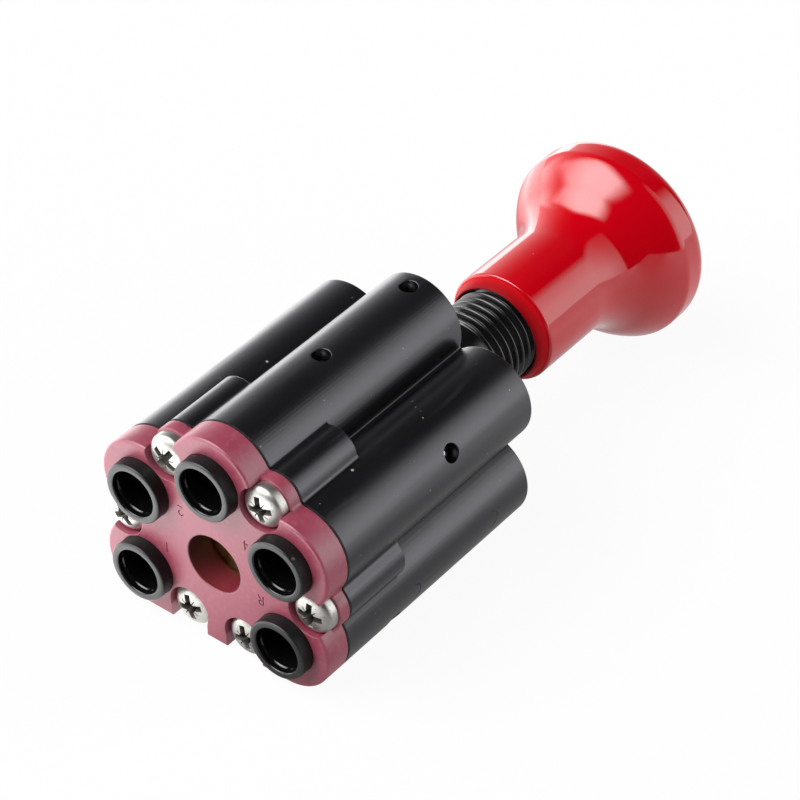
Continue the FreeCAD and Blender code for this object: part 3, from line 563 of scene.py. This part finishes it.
def grown(name, points, inputs, paint, shape):
    """A plain mesh object that Geometry Nodes grow from points. The inputs are the sizes that
    the tree names, and `shape` adds the nodes that make its form."""
    seed = bpy.data.meshes.new(name)
    seed.from_pydata(points, [], [])
    holder = bpy.data.objects.new(name, seed)
    scene.collection.objects.link(holder)
    tree = bpy.data.node_groups.new(name, "GeometryNodeTree")
    tree.interface.new_socket("Geometry", in_out="INPUT", socket_type="NodeSocketGeometry")
    kinds = {float: "NodeSocketFloat", int: "NodeSocketInt", bpy.types.Object: "NodeSocketObject"}
    sockets = {}
    for key, value in inputs.items():
        made = tree.interface.new_socket(key, in_out="INPUT", socket_type=kinds[type(value)])
        sockets[key] = made.identifier
    tree.interface.new_socket("Geometry", in_out="OUTPUT", socket_type="NodeSocketGeometry")

    def node(kind, links=(), **settings):
        made = tree.nodes.new(kind)
        for key, value in settings.items():
            setattr(made, key, value)
        for key, value in dict(links).items():
            if isinstance(value, bpy.types.NodeSocket):
                tree.links.new(value, made.inputs[key])
            else:
                made.inputs[key].default_value = value
        return made

    form = shape(node, node("NodeGroupInput").outputs)
    real = node("GeometryNodeRealizeInstances", {"Geometry": form})
    coated = node("GeometryNodeSetMaterial", {"Geometry": real.outputs[0], "Material": paint.block})
    node("NodeGroupOutput", {"Geometry": coated.outputs[0]})
    growth = holder.modifiers.new("growth", "NODES")
    growth.node_group = tree
    for key, value in inputs.items():
        growth[sockets[key]] = value
    settle(holder)
    return holder


def copies(node, sizes):
    """Puts the piece at each point, turned about the spool direction by its own amount."""
    piece = node("GeometryNodeObjectInfo", {"Object": sizes["Piece"]}, transform_space="ORIGINAL")
    turned = node("FunctionNodeRandomValue", {"Max": sizes["Largest turn"], "Seed": sizes["Seed"]},
                  data_type="FLOAT")
    spin = node("ShaderNodeCombineXYZ", {"Y": turned.outputs[1]})
    return node("GeometryNodeInstanceOnPoints", {
        "Points": sizes["Geometry"], "Instance": piece.outputs["Geometry"],
        "Rotation": spin.outputs[0], "Scale": sizes["Scale"]}).outputs[0]


half_circle = bow((0.0, -PORT_FACE), DRILLING_RADIUS, -90.0, 90.0, 24)
ball = lathe("one_ball", half_circle, steps=48, loop=False)
mouths = [level([polar(BALL_CIRCLE, LOBE_ANGLES[port])], along)[0] for port, along in DRILLINGS]
balls = grown("pressed_balls", mouths, {"Piece": ball, "Scale": 1.0, "Largest turn": 0.0, "Seed": 3},
              steel_ball, copies)
bpy.data.objects.remove(ball)
dress(balls, steel_ball, 60.0)
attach(balls, "valve_body")
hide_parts("ball_plugs")

# ---- Gasket -----------------------------------------------------------------------------
# A sheet of black rubber, 0.3 mm thick, squeezed between the plate and the housing. Only
# its slightly ragged edge is seen.
gasket_black = finish("gasket_sheet", shade(20, 20, 20), {"Roughness": 0.85})
fray = grain(gasket_black, 3500.0, 4.0)
gasket_black.feed("Base Color", mixed(between(fray, 0.45, 0.7), shade(14, 14, 14), shade(48, 46, 46)))
gasket_black.feed("Roughness", between(fray, 0.3, 0.7, 0.72, 0.95))
relief(gasket_black, fray, 0.8, 0.00005)


def coat(node, paint):
    """Gives a piece that stays as it was packed its finished material."""
    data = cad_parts[node].data
    data.materials.clear()
    data.materials.append(paint.block)


coat("plate_gasket", gasket_black)

# ---- Port plate -------------------------------------------------------------------------
# Moulded in maroon plastic. It closes the tube cartridges, and round pockets, open to the
# outside, let its screws sit below its face. The port numbers are moulded into the face.
PLATE_BACK = 3.95
PLATE_EDGE = 0.45
POCKET_DEPTH = 2.2
POCKET_RADIUS = 3.12
LOW_POCKET_HALF = 2.95
LOW_POCKET_UP = (-14.5, -11.0)
MIDDLE_HOLE = 4.15
PORT_HOLE = 4.32
SCREW_HOLE = 1.65
NUMBER_HEIGHT = 1.4
NUMBER_DEPTH = 0.13
STROKE_WIDTH = 0.17
plate_red = finish("maroon_plastic", shade(157, 64, 86), {"Roughness": 0.36, "Specular IOR Level": 1.0})
cloud = grain(plate_red, 260.0, 3.0)
spark = grain(plate_red, 6500.0)
bloom = between(grain(plate_red, 1500.0, 5.0), 0.52, 0.75)
specks = dust(plate_red, 520.0, 0.14, 0.10)
skin = mixed(between(cloud, 0.3, 0.7), shade(151, 59, 81), shade(163, 69, 91))
skin = mixed(bloom * 0.18, skin, shade(198, 140, 152))
skin = mixed(specks * 0.5, skin, shade(225, 190, 198))
plate_x, plate_z = plate_red.spot.part("X"), plate_red.spot.part("Z")
# The middle hole's wall is painted darker than the face, most at its top and less towards its bottom: painted
# shade.
hole_wall = between((plate_x * plate_x + plate_z * plate_z) ** 0.5, 4.32 * MM, 4.2 * MM)
painted_hole_shade = mixed(between(plate_z, -1.0 * MM, -4.2 * MM), shade(74, 22, 30), shade(136, 40, 54))
plate_red.feed("Base Color", mixed(hole_wall, skin, painted_hole_shade))
plate_red.feed("Roughness", between(cloud, 0.3, 0.7, 0.34, 0.42) + bloom * 0.1)
relief(plate_red, spark * 0.7 + specks * 1.2 + bloom * 0.3, 0.3, 0.00003)
# The floors of the number grooves get a dark colour of their own: painted shade in the grooves.
number_groove_shade = finish("number_recess", shade(70, 16, 28), {"Roughness": 0.8, "Specular IOR Level": 0.2})
number_groove_shade.feed("Base Color", mixed(grain(number_groove_shade, 2500.0), shade(60, 14, 24), shade(84, 22, 34)))

rings = [lobed_ring(block_angles, LOBES, along, shrink)
         for shrink, along in bow((PLATE_EDGE, PLATE_EDGE), PLATE_EDGE, 270.0, 180.0, 5)]
rings.append(lobed_ring(block_angles, LOBES, POCKET_DEPTH))
for along, shrink in ((0.0, 0.2), (0.06, 0.06), (0.2, 0.0)):
    rings.append(lobed_ring(block_angles, LOBES + shrunk(BOSSES, shrink), POCKET_DEPTH + along))
rings.append(lobed_ring(block_angles, LOBES + BOSSES, PLATE_BACK - 0.08))
rings.append(lobed_ring(block_angles, LOBES + BOSSES, PLATE_BACK, 0.08))
plate = skinned("maroon_plate", rings)


def bar(corners, start, end):
    """A straight-sided cutter: its section from one place along the spool to another."""
    return skinned("cutter", [level(corners, start), level(corners, end)])


def oblong(left, low, right, high):
    """The corners of an upright oblong."""
    return (left, low), (right, low), (right, high), (left, high)


cutters = [drill_bit(0.0, POCKET_DEPTH, POCKET_RADIUS, seat, lip=0.07) for seat in screw_seats]
cutters += [drill_bit(1.0, 6.0, SCREW_HOLE, seat, steps=32) for seat in screw_seats]
for across, _ in LOW_SCREWS:
    opening = oblong(across - LOW_POCKET_HALF, LOW_POCKET_UP[0], across + LOW_POCKET_HALF, LOW_POCKET_UP[1])
    cutters.append(bar(opening, -1.0, POCKET_DEPTH))
for angle in LOBE_ANGLES.values():
    cutters.append(drill_bit(0.0, 6.0, PORT_HOLE, polar(PORT_CIRCLE, angle), lip=0.04))
cutters.append(drill_bit(0.0, 6.0, MIDDLE_HOLE, lip=0.22))

# Each port's mark: its middle, and its strokes, drawn upright in parts of its height. The
# third port's is an R
MARKS = {
    2: ((-5.09, 6.0), [[(0.0, 0.78), (0.06, 0.92), (0.22, 1.0), (0.42, 0.94), (0.5, 0.78), (0.46, 0.6),
                        (0.0, 0.0), (0.54, 0.0)]]),
    1: ((-7.76, -1.49), [[(0.06, 0.78), (0.25, 1.0), (0.25, 0.0)]]),
    4: ((5.29, 6.13), [[(0.38, 0.0), (0.38, 1.0), (0.0, 0.3), (0.54, 0.3)]]),
    3: ((7.44, -1.64), [[(0.0, 0.0), (0.0, 1.0), (0.3, 1.0), (0.46, 0.9), (0.46, 0.64), (0.3, 0.52),
                         (0.0, 0.52)], [(0.24, 0.52), (0.52, 0.0)]]),
}


def number_bits(middle, strokes):
    """Flat bars that sink one number into the face, upside down as on the real plate."""
    bits = []
    for stroke in strokes:
        for start, end in zip(stroke, stroke[1:]):
            here = [Vector((0.27 - x, 0.5 - y)) * NUMBER_HEIGHT for x, y in (start, end)]
            way = (here[1] - here[0]).normalized() * STROKE_WIDTH / 2
            side = Vector((-way.y, way.x))
            flat = (here[0] - way - side, here[1] + way - side, here[1] + way + side, here[0] - way + side)
            bit = bar([(middle[0] + point.x, middle[1] + point.y) for point in flat], NUMBER_DEPTH, -0.3)
            bit.data.materials.append(number_groove_shade.block)
            bits.append(bit)
    return bits


for thing in (plate, *cutters):
    thing.data.materials.append(plate_red.block)
for middle, strokes in MARKS.values():
    cutters += number_bits(middle, strokes)
carve(plate, cutters)
dress(plate, None)
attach(plate, "valve_body")
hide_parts("port_plate")

# ---- Plate screws -----------------------------------------------------------------------
# Six zinc-plated pan head screws, M3, with a cross recess. They pull the plate and the
# gasket onto the housing: four in the bosses between the lobes, two in the base.
HEAD_RADIUS = 2.95
HEAD_TOP = 0.05
HEAD_CROWN = 1.25
SHANK_RADIUS = 1.45
TIP_RADIUS = 0.85
TIP_END = 12.2
zinc = finish("bright_zinc", shade(200, 198, 192), {"Metallic": 1.0, "Roughness": 0.42})
smear = grain(zinc, 700.0, 4.0)
pits = between(grain(zinc, 4200.0, 3.0), 0.58, 0.72)
# The cross recess is painted darker than the head: painted shade in the recess.
recess_shade = zinc.add("ShaderNodeAttribute", output="Fac", attribute_name="recess")
skin = mixed(pits * 0.6 + between(smear, 0.5, 0.8) * 0.35, shade(202, 200, 195), shade(128, 122, 114))
zinc.feed("Base Color", mixed(recess_shade * 0.75, skin, shade(70, 65, 60)))
zinc.feed("Roughness", between(smear, 0.3, 0.7, 0.34, 0.48) + pits * 0.2)
relief(zinc, grain(zinc, 2600.0, 3.0) + pits * -0.6, 0.3, 0.00003)
head = []
for step in range(15):
    across = HEAD_RADIUS * math.sin(math.radians(90.0 * step / 14))
    crown = 1.0 - (1.0 - (across / HEAD_RADIUS) ** 2.5) ** 0.5
    head.append((across, HEAD_TOP + HEAD_CROWN * crown))
head += [(HEAD_RADIUS, POCKET_DEPTH - 0.12), (HEAD_RADIUS - 0.07, POCKET_DEPTH),
         (SHANK_RADIUS, POCKET_DEPTH), (SHANK_RADIUS, TIP_END - 0.6), (TIP_RADIUS, TIP_END), (0.0, TIP_END)]
screw = lathe("one_screw", [(radius, along - PORT_FACE) for radius, along in head], steps=72, loop=False)


def turned(corners, angle, centre=(0.0, 0.0)):
    """The corners of a section, turned and then moved to a centre."""
    turn = math.radians(angle)
    return [(centre[0] + across * math.cos(turn) - up * math.sin(turn),
             centre[1] + across * math.sin(turn) + up * math.cos(turn)) for across, up in corners]


def recess_ring(span, width, fill, depth):
    """One level of the cross recess: four arms of a span and width, filled at their roots."""
    arm = ((span, -width), (span, width), (width + fill, width), (width, width + fill))
    return level([corner for quarter in range(4) for corner in turned(arm, 90.0 * quarter)],
                 depth - PORT_FACE)


def mark(piece, name, test):
    """Marks the points of a mesh that pass a test, for its material."""
    marks = piece.data.attributes.new(name, "FLOAT", "POINT")
    for vertex in piece.data.vertices:
        marks.data[vertex.index].value = 1.0 if test(vertex.co) else 0.0


cutters = [skinned("cutter", [recess_ring(1.98, 0.46, 0.30, -0.5), recess_ring(1.9, 0.44, 0.28, 0.1),
                              recess_ring(1.55, 0.36, 0.20, 1.0), recess_ring(0.66, 0.22, 0.05, 1.7)])]
for quarter in range(4):
    tick = turned(oblong(0.5, -0.07, 1.45, 0.07), 45.0 + 90.0 * quarter)
    cutters.append(bar(tick, -0.5 - PORT_FACE, 0.42 - PORT_FACE))
carve(screw, cutters)
# Marks the cross recess, for its painted shade.
mark(screw, "recess", lambda place: math.hypot(place.x, place.z) < 2.1 and 0.4 < place.y < 2.0)
screws = grown("zinc_screws", level(screw_seats, 0.0),
               {"Piece": screw, "Scale": 1.0, "Largest turn": 1.6, "Seed": 11}, zinc, copies)
bpy.data.objects.remove(screw)
dress(screws, zinc, 28.0)
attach(screws, "valve_body")
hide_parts("plate_screws")

# ---- Tube cartridges --------------------------------------------------------------------
# Each port takes a 6 mm tube: a charcoal release collet with sprung fingers slides in the
# plate, and behind it sit a toothed steel ring, an acetal support ring and a rubber seal.
COLLET_PROUD = 1.9
COLLET_RADIUS = 4.3
COLLET_END = 8.3
TUBE_BORE = 3.1
FINGER_SLOT_HALF = 0.4
FINGER_SLOT = (2.2, 7.0)
CATCH_RADIUS = 4.75
MOUTH_RADIUS = 3.28
MOUTH_ROUND = 0.24
OUTER_ROUND = 0.3
charcoal = finish("charcoal_collet", shade(22, 22, 23), {"Roughness": 0.34, "Specular IOR Level": 0.7})
bore_mark = charcoal.add("ShaderNodeAttribute", output="Fac", attribute_name="bore")
cloud = grain(charcoal, 600.0, 3.0)
chalk = between(grain(charcoal, 2200.0, 5.0), 0.5, 0.78)
skin = mixed(between(cloud, 0.3, 0.7), shade(17, 17, 18), shade(24, 24, 26))
skin = mixed(chalk * 0.2, skin, shade(84, 86, 88))
charcoal.feed("Base Color", mixed(bore_mark, skin, shade(14, 14, 15)))
rough = between(cloud, 0.3, 0.7, 0.30, 0.38)
charcoal.feed("Roughness", rough * (1.0 - bore_mark) + bore_mark * 0.08)
relief(charcoal, grain(charcoal, 5200.0) + chalk * 0.5, 0.3, 0.00003)
# The outer sides get a darker, less glossy copy of the collet's material: painted shade on the sides.
charcoal_side = finish("charcoal_side", shade(14, 14, 15), {"Roughness": 0.5, "Specular IOR Level": 0.3})
side_shade_cloud = grain(charcoal_side, 900.0, 3.0)
lint = dust(charcoal_side, 700.0, 0.4, 0.16)
skin = mixed(side_shade_cloud, shade(10, 10, 11), shade(18, 18, 19))
charcoal_side.feed("Base Color", mixed(lint * 0.5, skin, shade(120, 118, 114)))
charcoal_side.feed("Roughness", between(side_shade_cloud, 0.3, 0.7, 0.42, 0.56))
relief(charcoal_side, grain(charcoal_side, 4200.0) + lint, 0.3, 0.00003)


def recoat(piece, paint, test):
    """Gives a second material to the faces that pass a test."""
    piece.data.materials.append(paint.block)
    for face in piece.data.polygons:
        if test(face.center / MM, face.normal):
            face.material_index = 1


section = [(TUBE_BORE, COLLET_END), (TUBE_BORE, 1.04), (3.12, 0.98), (3.24, 0.84), (3.255, 0.78),
           (3.265, 0.5), (MOUTH_RADIUS, 0.26)]
section += bow((MOUTH_RADIUS + MOUTH_ROUND, MOUTH_ROUND), MOUTH_ROUND, 198.0, 270.0, 4)
section += bow((COLLET_RADIUS - OUTER_ROUND, OUTER_ROUND), OUTER_ROUND, 270.0, 360.0, 3)
section += [(COLLET_RADIUS, 5.95), (CATCH_RADIUS, 5.98), (CATCH_RADIUS, 6.65), (3.6, COLLET_END)]
for port, angle in LOBE_ANGLES.items():
    centre = polar(PORT_CIRCLE, angle)
    profile = [(radius, along - COLLET_PROUD) for radius, along in section]
    collet = lathe("collet_of_port_" + str(port), profile, centre)
    slot = oblong(-6.0, -FINGER_SLOT_HALF, 6.0, FINGER_SLOT_HALF)
    carve(collet, [bar(turned(slot, tilt, centre), *FINGER_SLOT) for tilt in (0.0, 90.0)])
    dress(collet, charcoal)

    def off_axis(place):
        return Vector((place.x - centre[0], 0.0, place.z - centre[1]))

    recoat(collet, charcoal_side, lambda place, normal: off_axis(place).length > 4.1
           and normal.dot(off_axis(place)) > 0.75 * off_axis(place).length)
    mark(collet, "bore", lambda place: off_axis(place / MM).length < 3.42)
    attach(collet, "collet_" + str(port))
    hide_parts("release_collet_" + str(port))

spring_sheet = finish("spring_sheet", shade(190, 190, 192), {"Metallic": 1.0, "Roughness": 0.3})
roll = grain(spring_sheet, 1200.0, 3.0, (1.0, 1.0, 0.1))
spring_sheet.feed("Roughness", between(roll, 0.3, 0.7, 0.22, 0.4))
spring_sheet.feed("Base Color", mixed(roll, shade(200, 200, 202), shade(170, 168, 165)))
acetal = finish("natural_acetal", shade(226, 224, 216), {"Roughness": 0.42})
cloud = grain(acetal, 900.0, 3.0)
acetal.feed("Base Color", mixed(cloud, shade(220, 218, 209), shade(232, 230, 223)))
acetal.feed("Roughness", between(cloud, 0.3, 0.7, 0.36, 0.5))
relief(acetal, grain(acetal, 5000.0), 0.2, 0.00002)
nitrile = finish("nitrile_rubber", shade(22, 22, 23), {"Roughness": 0.55})
film = grain(nitrile, 1400.0, 3.0)
nitrile.feed("Base Color", mixed(film, shade(17, 17, 18), shade(30, 30, 31)))
nitrile.feed("Roughness", between(film, 0.3, 0.7, 0.4, 0.65))
relief(nitrile, grain(nitrile, 4200.0), 0.25, 0.00002)
for port in LOBE_ANGLES:
    coat("grip_ring_" + str(port), spring_sheet)
    coat("support_ring_" + str(port), acetal)
    coat("tube_seal_" + str(port), nitrile)

# ---- Bore stack and spool ---------------------------------------------------------------
# Turned brass: the piston's liner, five cages that hold the seals, and the spool that runs
# through them. The piston's slotted face is seen through the hole in the plate.
brass = finish("turned_brass", shade(214, 182, 122), {"Metallic": 0.75, "Roughness": 0.45})
axis_x, axis_z = brass.spot.part("X"), brass.spot.part("Z")
wave = (axis_x * axis_x + axis_z * axis_z) ** 0.5 * 42000.0 + grain(brass, 300.0) * 3.0
tarnish = between(grain(brass, 700.0, 4.0), 0.4, 0.75)
brass.feed("Base Color", mixed(tarnish * 0.6, shade(222, 190, 128), shade(176, 140, 84)))
brass.feed("Roughness", 0.36 + tarnish * 0.2)
relief(brass, wave.maths("SINE", wave), 0.25, 0.00002)
for node in ("spool", "piston_liner", "knob_insert", *("seal_cage_" + str(port) for port in LOBE_ANGLES)):
    coat(node, brass)
for node in ("piston_seal", "stem_seal", "stem_wiper", *("spool_seal_" + str(port) for port in LOBE_ANGLES)):
    coat(node, nitrile)
coat("stem_seal_retainer", acetal)

# ---- Threaded neck ----------------------------------------------------------------------
# A black nylon bushing that fixes the valve in a panel. Its flange is sunk into the
# housing's end, and a pipe thread of 1/4 inch runs from a short plain neck to its mouth.
THREAD_RADIUS = 6.58
THREAD_START = 49.9
NECK_END = 63.4
NECK_BORE = 3.56
WIPER_SEAT = 5.0
RETAINER_SEAT = 5.45
THREAD = {"Crest radius": THREAD_RADIUS, "Depth": 0.82, "Pitch": 1.337, "Start": THREAD_START + PORT_FACE,
          "End": NECK_END + PORT_FACE, "Run in": 0.9, "Chamfer": 0.7}
PROFILE_POINTS = 12
TURNS = 13
AROUND = 96
neck_black = finish("black_neck", shade(16, 16, 18), {"Roughness": 0.2, "Specular IOR Level": 0.7})
cloud = grain(neck_black, 400.0, 3.0)
rubs = between(grain(neck_black, 1800.0, 4.0), 0.55, 0.75)
skin = mixed(cloud, shade(12, 12, 13), shade(19, 19, 21))
neck_black.feed("Base Color", mixed(rubs * 0.1, skin, shade(50, 50, 52)))
neck_black.feed("Roughness", between(cloud, 0.3, 0.7, 0.16, 0.22) + rubs * 0.06)
relief(neck_black, grain(neck_black, 5000.0), 0.12, 0.00002)


def helix(node, sizes):
    """The outer skin of the thread: rows of points climb with the helix, so that its crests
    stay crisp, and are held between the start and the end."""

    def maths(operation, *values):
        return node("ShaderNodeMath", dict(enumerate(values)), operation=operation).outputs[0]

    def held(value, low, high):
        return maths("MINIMUM", maths("MAXIMUM", value, low), high)

    grid = node("GeometryNodeMeshGrid", {"Size X": 1.0, "Size Y": 1.0, "Vertices X": AROUND + 1,
                                         "Vertices Y": PROFILE_POINTS * TURNS + 1})
    place = node("ShaderNodeSeparateXYZ", {0: node("GeometryNodeInputPosition").outputs[0]})
    turn = maths("ADD", place.outputs["X"], 0.5)
    climb = maths("MULTIPLY", maths("ADD", place.outputs["Y"], 0.5), float(TURNS))
    step = maths("MODULO", climb, 1.0)
    rise = maths("MULTIPLY", maths("ADD", maths("SUBTRACT", climb, 1.0), turn), sizes["Pitch"])
    along = held(maths("ADD", sizes["Start"], rise), sizes["Start"], sizes["End"])
    wave = maths("ABSOLUTE", maths("SUBTRACT", maths("MULTIPLY", step, 2.0), 1.0))
    wave = held(maths("MULTIPLY", maths("SUBTRACT", wave, 1.0 / 6.0), 1.5), 0.0, 1.0)
    run_in = maths("DIVIDE", maths("SUBTRACT", along, sizes["Start"]), sizes["Run in"])
    cut = maths("MULTIPLY", maths("MULTIPLY", wave, maths("MINIMUM", run_in, 1.0)), sizes["Depth"])
    left = maths("SUBTRACT", sizes["End"], along)
    mouth = maths("MAXIMUM", maths("SUBTRACT", sizes["Chamfer"], left), 0.0)
    radius = maths("SUBTRACT", sizes["Crest radius"], maths("MAXIMUM", cut, mouth))
    angle = maths("MULTIPLY", turn, 2.0 * math.pi)
    point = node("ShaderNodeCombineXYZ", {
        "X": maths("MULTIPLY", radius, maths("COSINE", angle)), "Y": along,
        "Z": maths("MULTIPLY", radius, maths("SINE", angle))})
    bent = node("GeometryNodeSetPosition", {"Geometry": grid.outputs["Mesh"], "Position": point.outputs[0]})
    return node("GeometryNodeMergeByDistance", {"Geometry": bent.outputs[0], "Distance": 0.002}).outputs[0]


neck = grown("threaded_bushing", [(0.0, 0.0, 0.0)], THREAD, neck_black, helix)
mesh = bmesh.new()
mesh.from_mesh(neck.data)
rims = {}
for vertex in mesh.verts:
    for key in ("Start", "End"):
        if abs(vertex.co.y - THREAD[key]) < 0.0001 and vertex.is_boundary:
            rims.setdefault(key, []).append(vertex)
# The rest of its half section, from each end of the thread to where the two meet
rest_of_section = {
    "Start": [(THREAD_RADIUS, 41.75), (6.75, 41.5), (8.05, 41.5), (8.15, 41.4), (8.15, FLANGE_FLOOR),
              (RETAINER_SEAT, FLANGE_FLOOR)],
    "End": [(WIPER_SEAT, NECK_END), (WIPER_SEAT, 61.4), (NECK_BORE, 61.4), (NECK_BORE, 43.7),
            (RETAINER_SEAT, 43.7), (RETAINER_SEAT, FLANGE_FLOOR)],
}
for key, profile in rest_of_section.items():
    row = sorted(rims[key], key=lambda vertex: math.atan2(vertex.co.z, vertex.co.x))
    angles = [math.atan2(vertex.co.z, vertex.co.x) for vertex in row]
    for radius, along in profile:
        made = [mesh.verts.new(point) for point in
                level([(radius * math.cos(angle), radius * math.sin(angle)) for angle in angles], along)]
        for index in range(len(row)):
            after = (index + 1) % len(row)
            mesh.faces.new((row[index], row[after], made[after], made[index]))
        row = made
bmesh.ops.remove_doubles(mesh, verts=mesh.verts, dist=0.002)
bmesh.ops.dissolve_degenerate(mesh, dist=0.001, edges=mesh.edges)
bmesh.ops.recalc_face_normals(mesh, faces=mesh.faces)
mesh.to_mesh(neck.data)
mesh.free()
dress(neck, neck_black, 70.0)
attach(neck, "valve_body")
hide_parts("threaded_neck")

# ---- Knob -------------------------------------------------------------------------------
# A mushroom in polished red thermoset, moulded round a brass nut that screws onto the
# spool's end. Its hollow skirt covers the mouth of the thread.
SKIRT_END = 58.0
SKIRT_RADIUS = 8.2
SKIRT_BORE = 6.68
SKIRT_FLOOR = 63.7
LIP_ROUND = 0.4
FLARE_RADIUS = 10.0
FLARE_ANGLE = 48.0
BELLY_ANGLE = 27.0
RIM_ROUND = 1.5
SHOULDER = 2.5
DOME_TOP = 90.76
INSERT_RADIUS = 4.53
INSERT_END = 73.7
knob_red = finish("polished_red", shade(200, 0, 20), {"Roughness": 0.08, "Specular IOR Level": 0.85})
cloud = grain(knob_red, 90.0)
wipe = between(grain(knob_red, 800.0, 4.0), 0.55, 0.8)
specks = dust(knob_red, 260.0, 0.10, 0.07)
skin = mixed(cloud, shade(196, 0, 17), shade(205, 1, 23))
knob_red.feed("Base Color", mixed(specks * 0.6, skin, shade(235, 150, 155)))
knob_red.feed("Roughness", 0.07 + wipe * 0.06 + specks * 0.3)
relief(knob_red, grain(knob_red, 60.0, 1.0) + specks * 0.05, 0.08, 0.0004)
# The bevel's red darkens towards the skirt's inner edge: painted shade in the skirt's mouth.
bevel_red_with_shade = finish("matt_bevel_red", shade(190, 0, 12), {"Roughness": 0.5, "Specular IOR Level": 0.08})
skirt_y = (SKIRT_END + PORT_FACE) * MM
depth = between(bevel_red_with_shade.spot.part("Y"), skirt_y, skirt_y + 2.0 * MM)
bevel_red_with_shade.feed("Base Color", mixed(depth, shade(140, 2, 14), shade(208, 4, 20)))

flare_centre = (SKIRT_RADIUS + FLARE_RADIUS, SKIRT_END + 14.0)
flare = bow(flare_centre, FLARE_RADIUS, 180.0, 180.0 - FLARE_ANGLE, 26)
belly_radius = (RIM_RADIUS - flare[-1][0]) / (polar(1.0, BELLY_ANGLE)[0] - polar(1.0, FLARE_ANGLE)[0])
belly_x, belly_y = polar(belly_radius, BELLY_ANGLE)
belly_centre = (RIM_RADIUS - belly_x, RIM_START + belly_y)
reach = RIM_RADIUS - RIM_ROUND - belly_centre[0]
rim_centre = (RIM_RADIUS - RIM_ROUND, belly_centre[1] - math.sqrt((belly_radius - RIM_ROUND) ** 2 - reach ** 2))
touch = math.degrees(math.atan2(rim_centre[1] - belly_centre[1], reach))
shoulder_centre = (RIM_RADIUS - SHOULDER, RIM_START + 2.4)
rise = DOME_TOP - shoulder_centre[1]
dome_radius = (shoulder_centre[0] ** 2 + rise ** 2 - SHOULDER ** 2) / (rise - SHOULDER) / 2.0
dome_edge = math.degrees(math.atan2(dome_radius - rise, shoulder_centre[0]))
# The skirt's bore and bevel, from its floor to its lip
section = [(SKIRT_BORE, SKIRT_FLOOR)]
section += [(radius, SKIRT_END + depth) for radius, depth in (
    (SKIRT_BORE, 0.34), (6.71, 0.26), (6.92, 0.04), (6.99, 0.0), (7.07, 0.06), (7.32, 0.62), (7.57, 1.18),
    (7.8, 1.7))]
section += bow((SKIRT_RADIUS - LIP_ROUND, SKIRT_END + 2.12), LIP_ROUND, -80.0, 0.0, 10)
section += [(SKIRT_RADIUS, 63.0), (SKIRT_RADIUS, 67.0)]
section += flare + bow(belly_centre, belly_radius, -FLARE_ANGLE, touch, 24)[1:]
section += bow(rim_centre, RIM_ROUND, touch, 0.0, 8)[1:] + [(RIM_RADIUS, 84.9)]
section += bow(shoulder_centre, SHOULDER, 0.0, dome_edge, 14)
section += bow((0.0, DOME_TOP - dome_radius), dome_radius, dome_edge, 90.0, 14)[1:-1]
section += [(0.0, DOME_TOP), (0.0, INSERT_END), (INSERT_RADIUS, INSERT_END), (INSERT_RADIUS, SKIRT_FLOOR)]
knob = lathe("mushroom_knob", section, steps=160)
dress(knob, knob_red, 40.0)
recoat(knob, bevel_red_with_shade, lambda place, normal: place.y - PORT_FACE < SKIRT_END + 1.72
       and 7.0 < math.hypot(place.x, place.z) < 7.85)
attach(knob, "plunger")
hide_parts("knob")
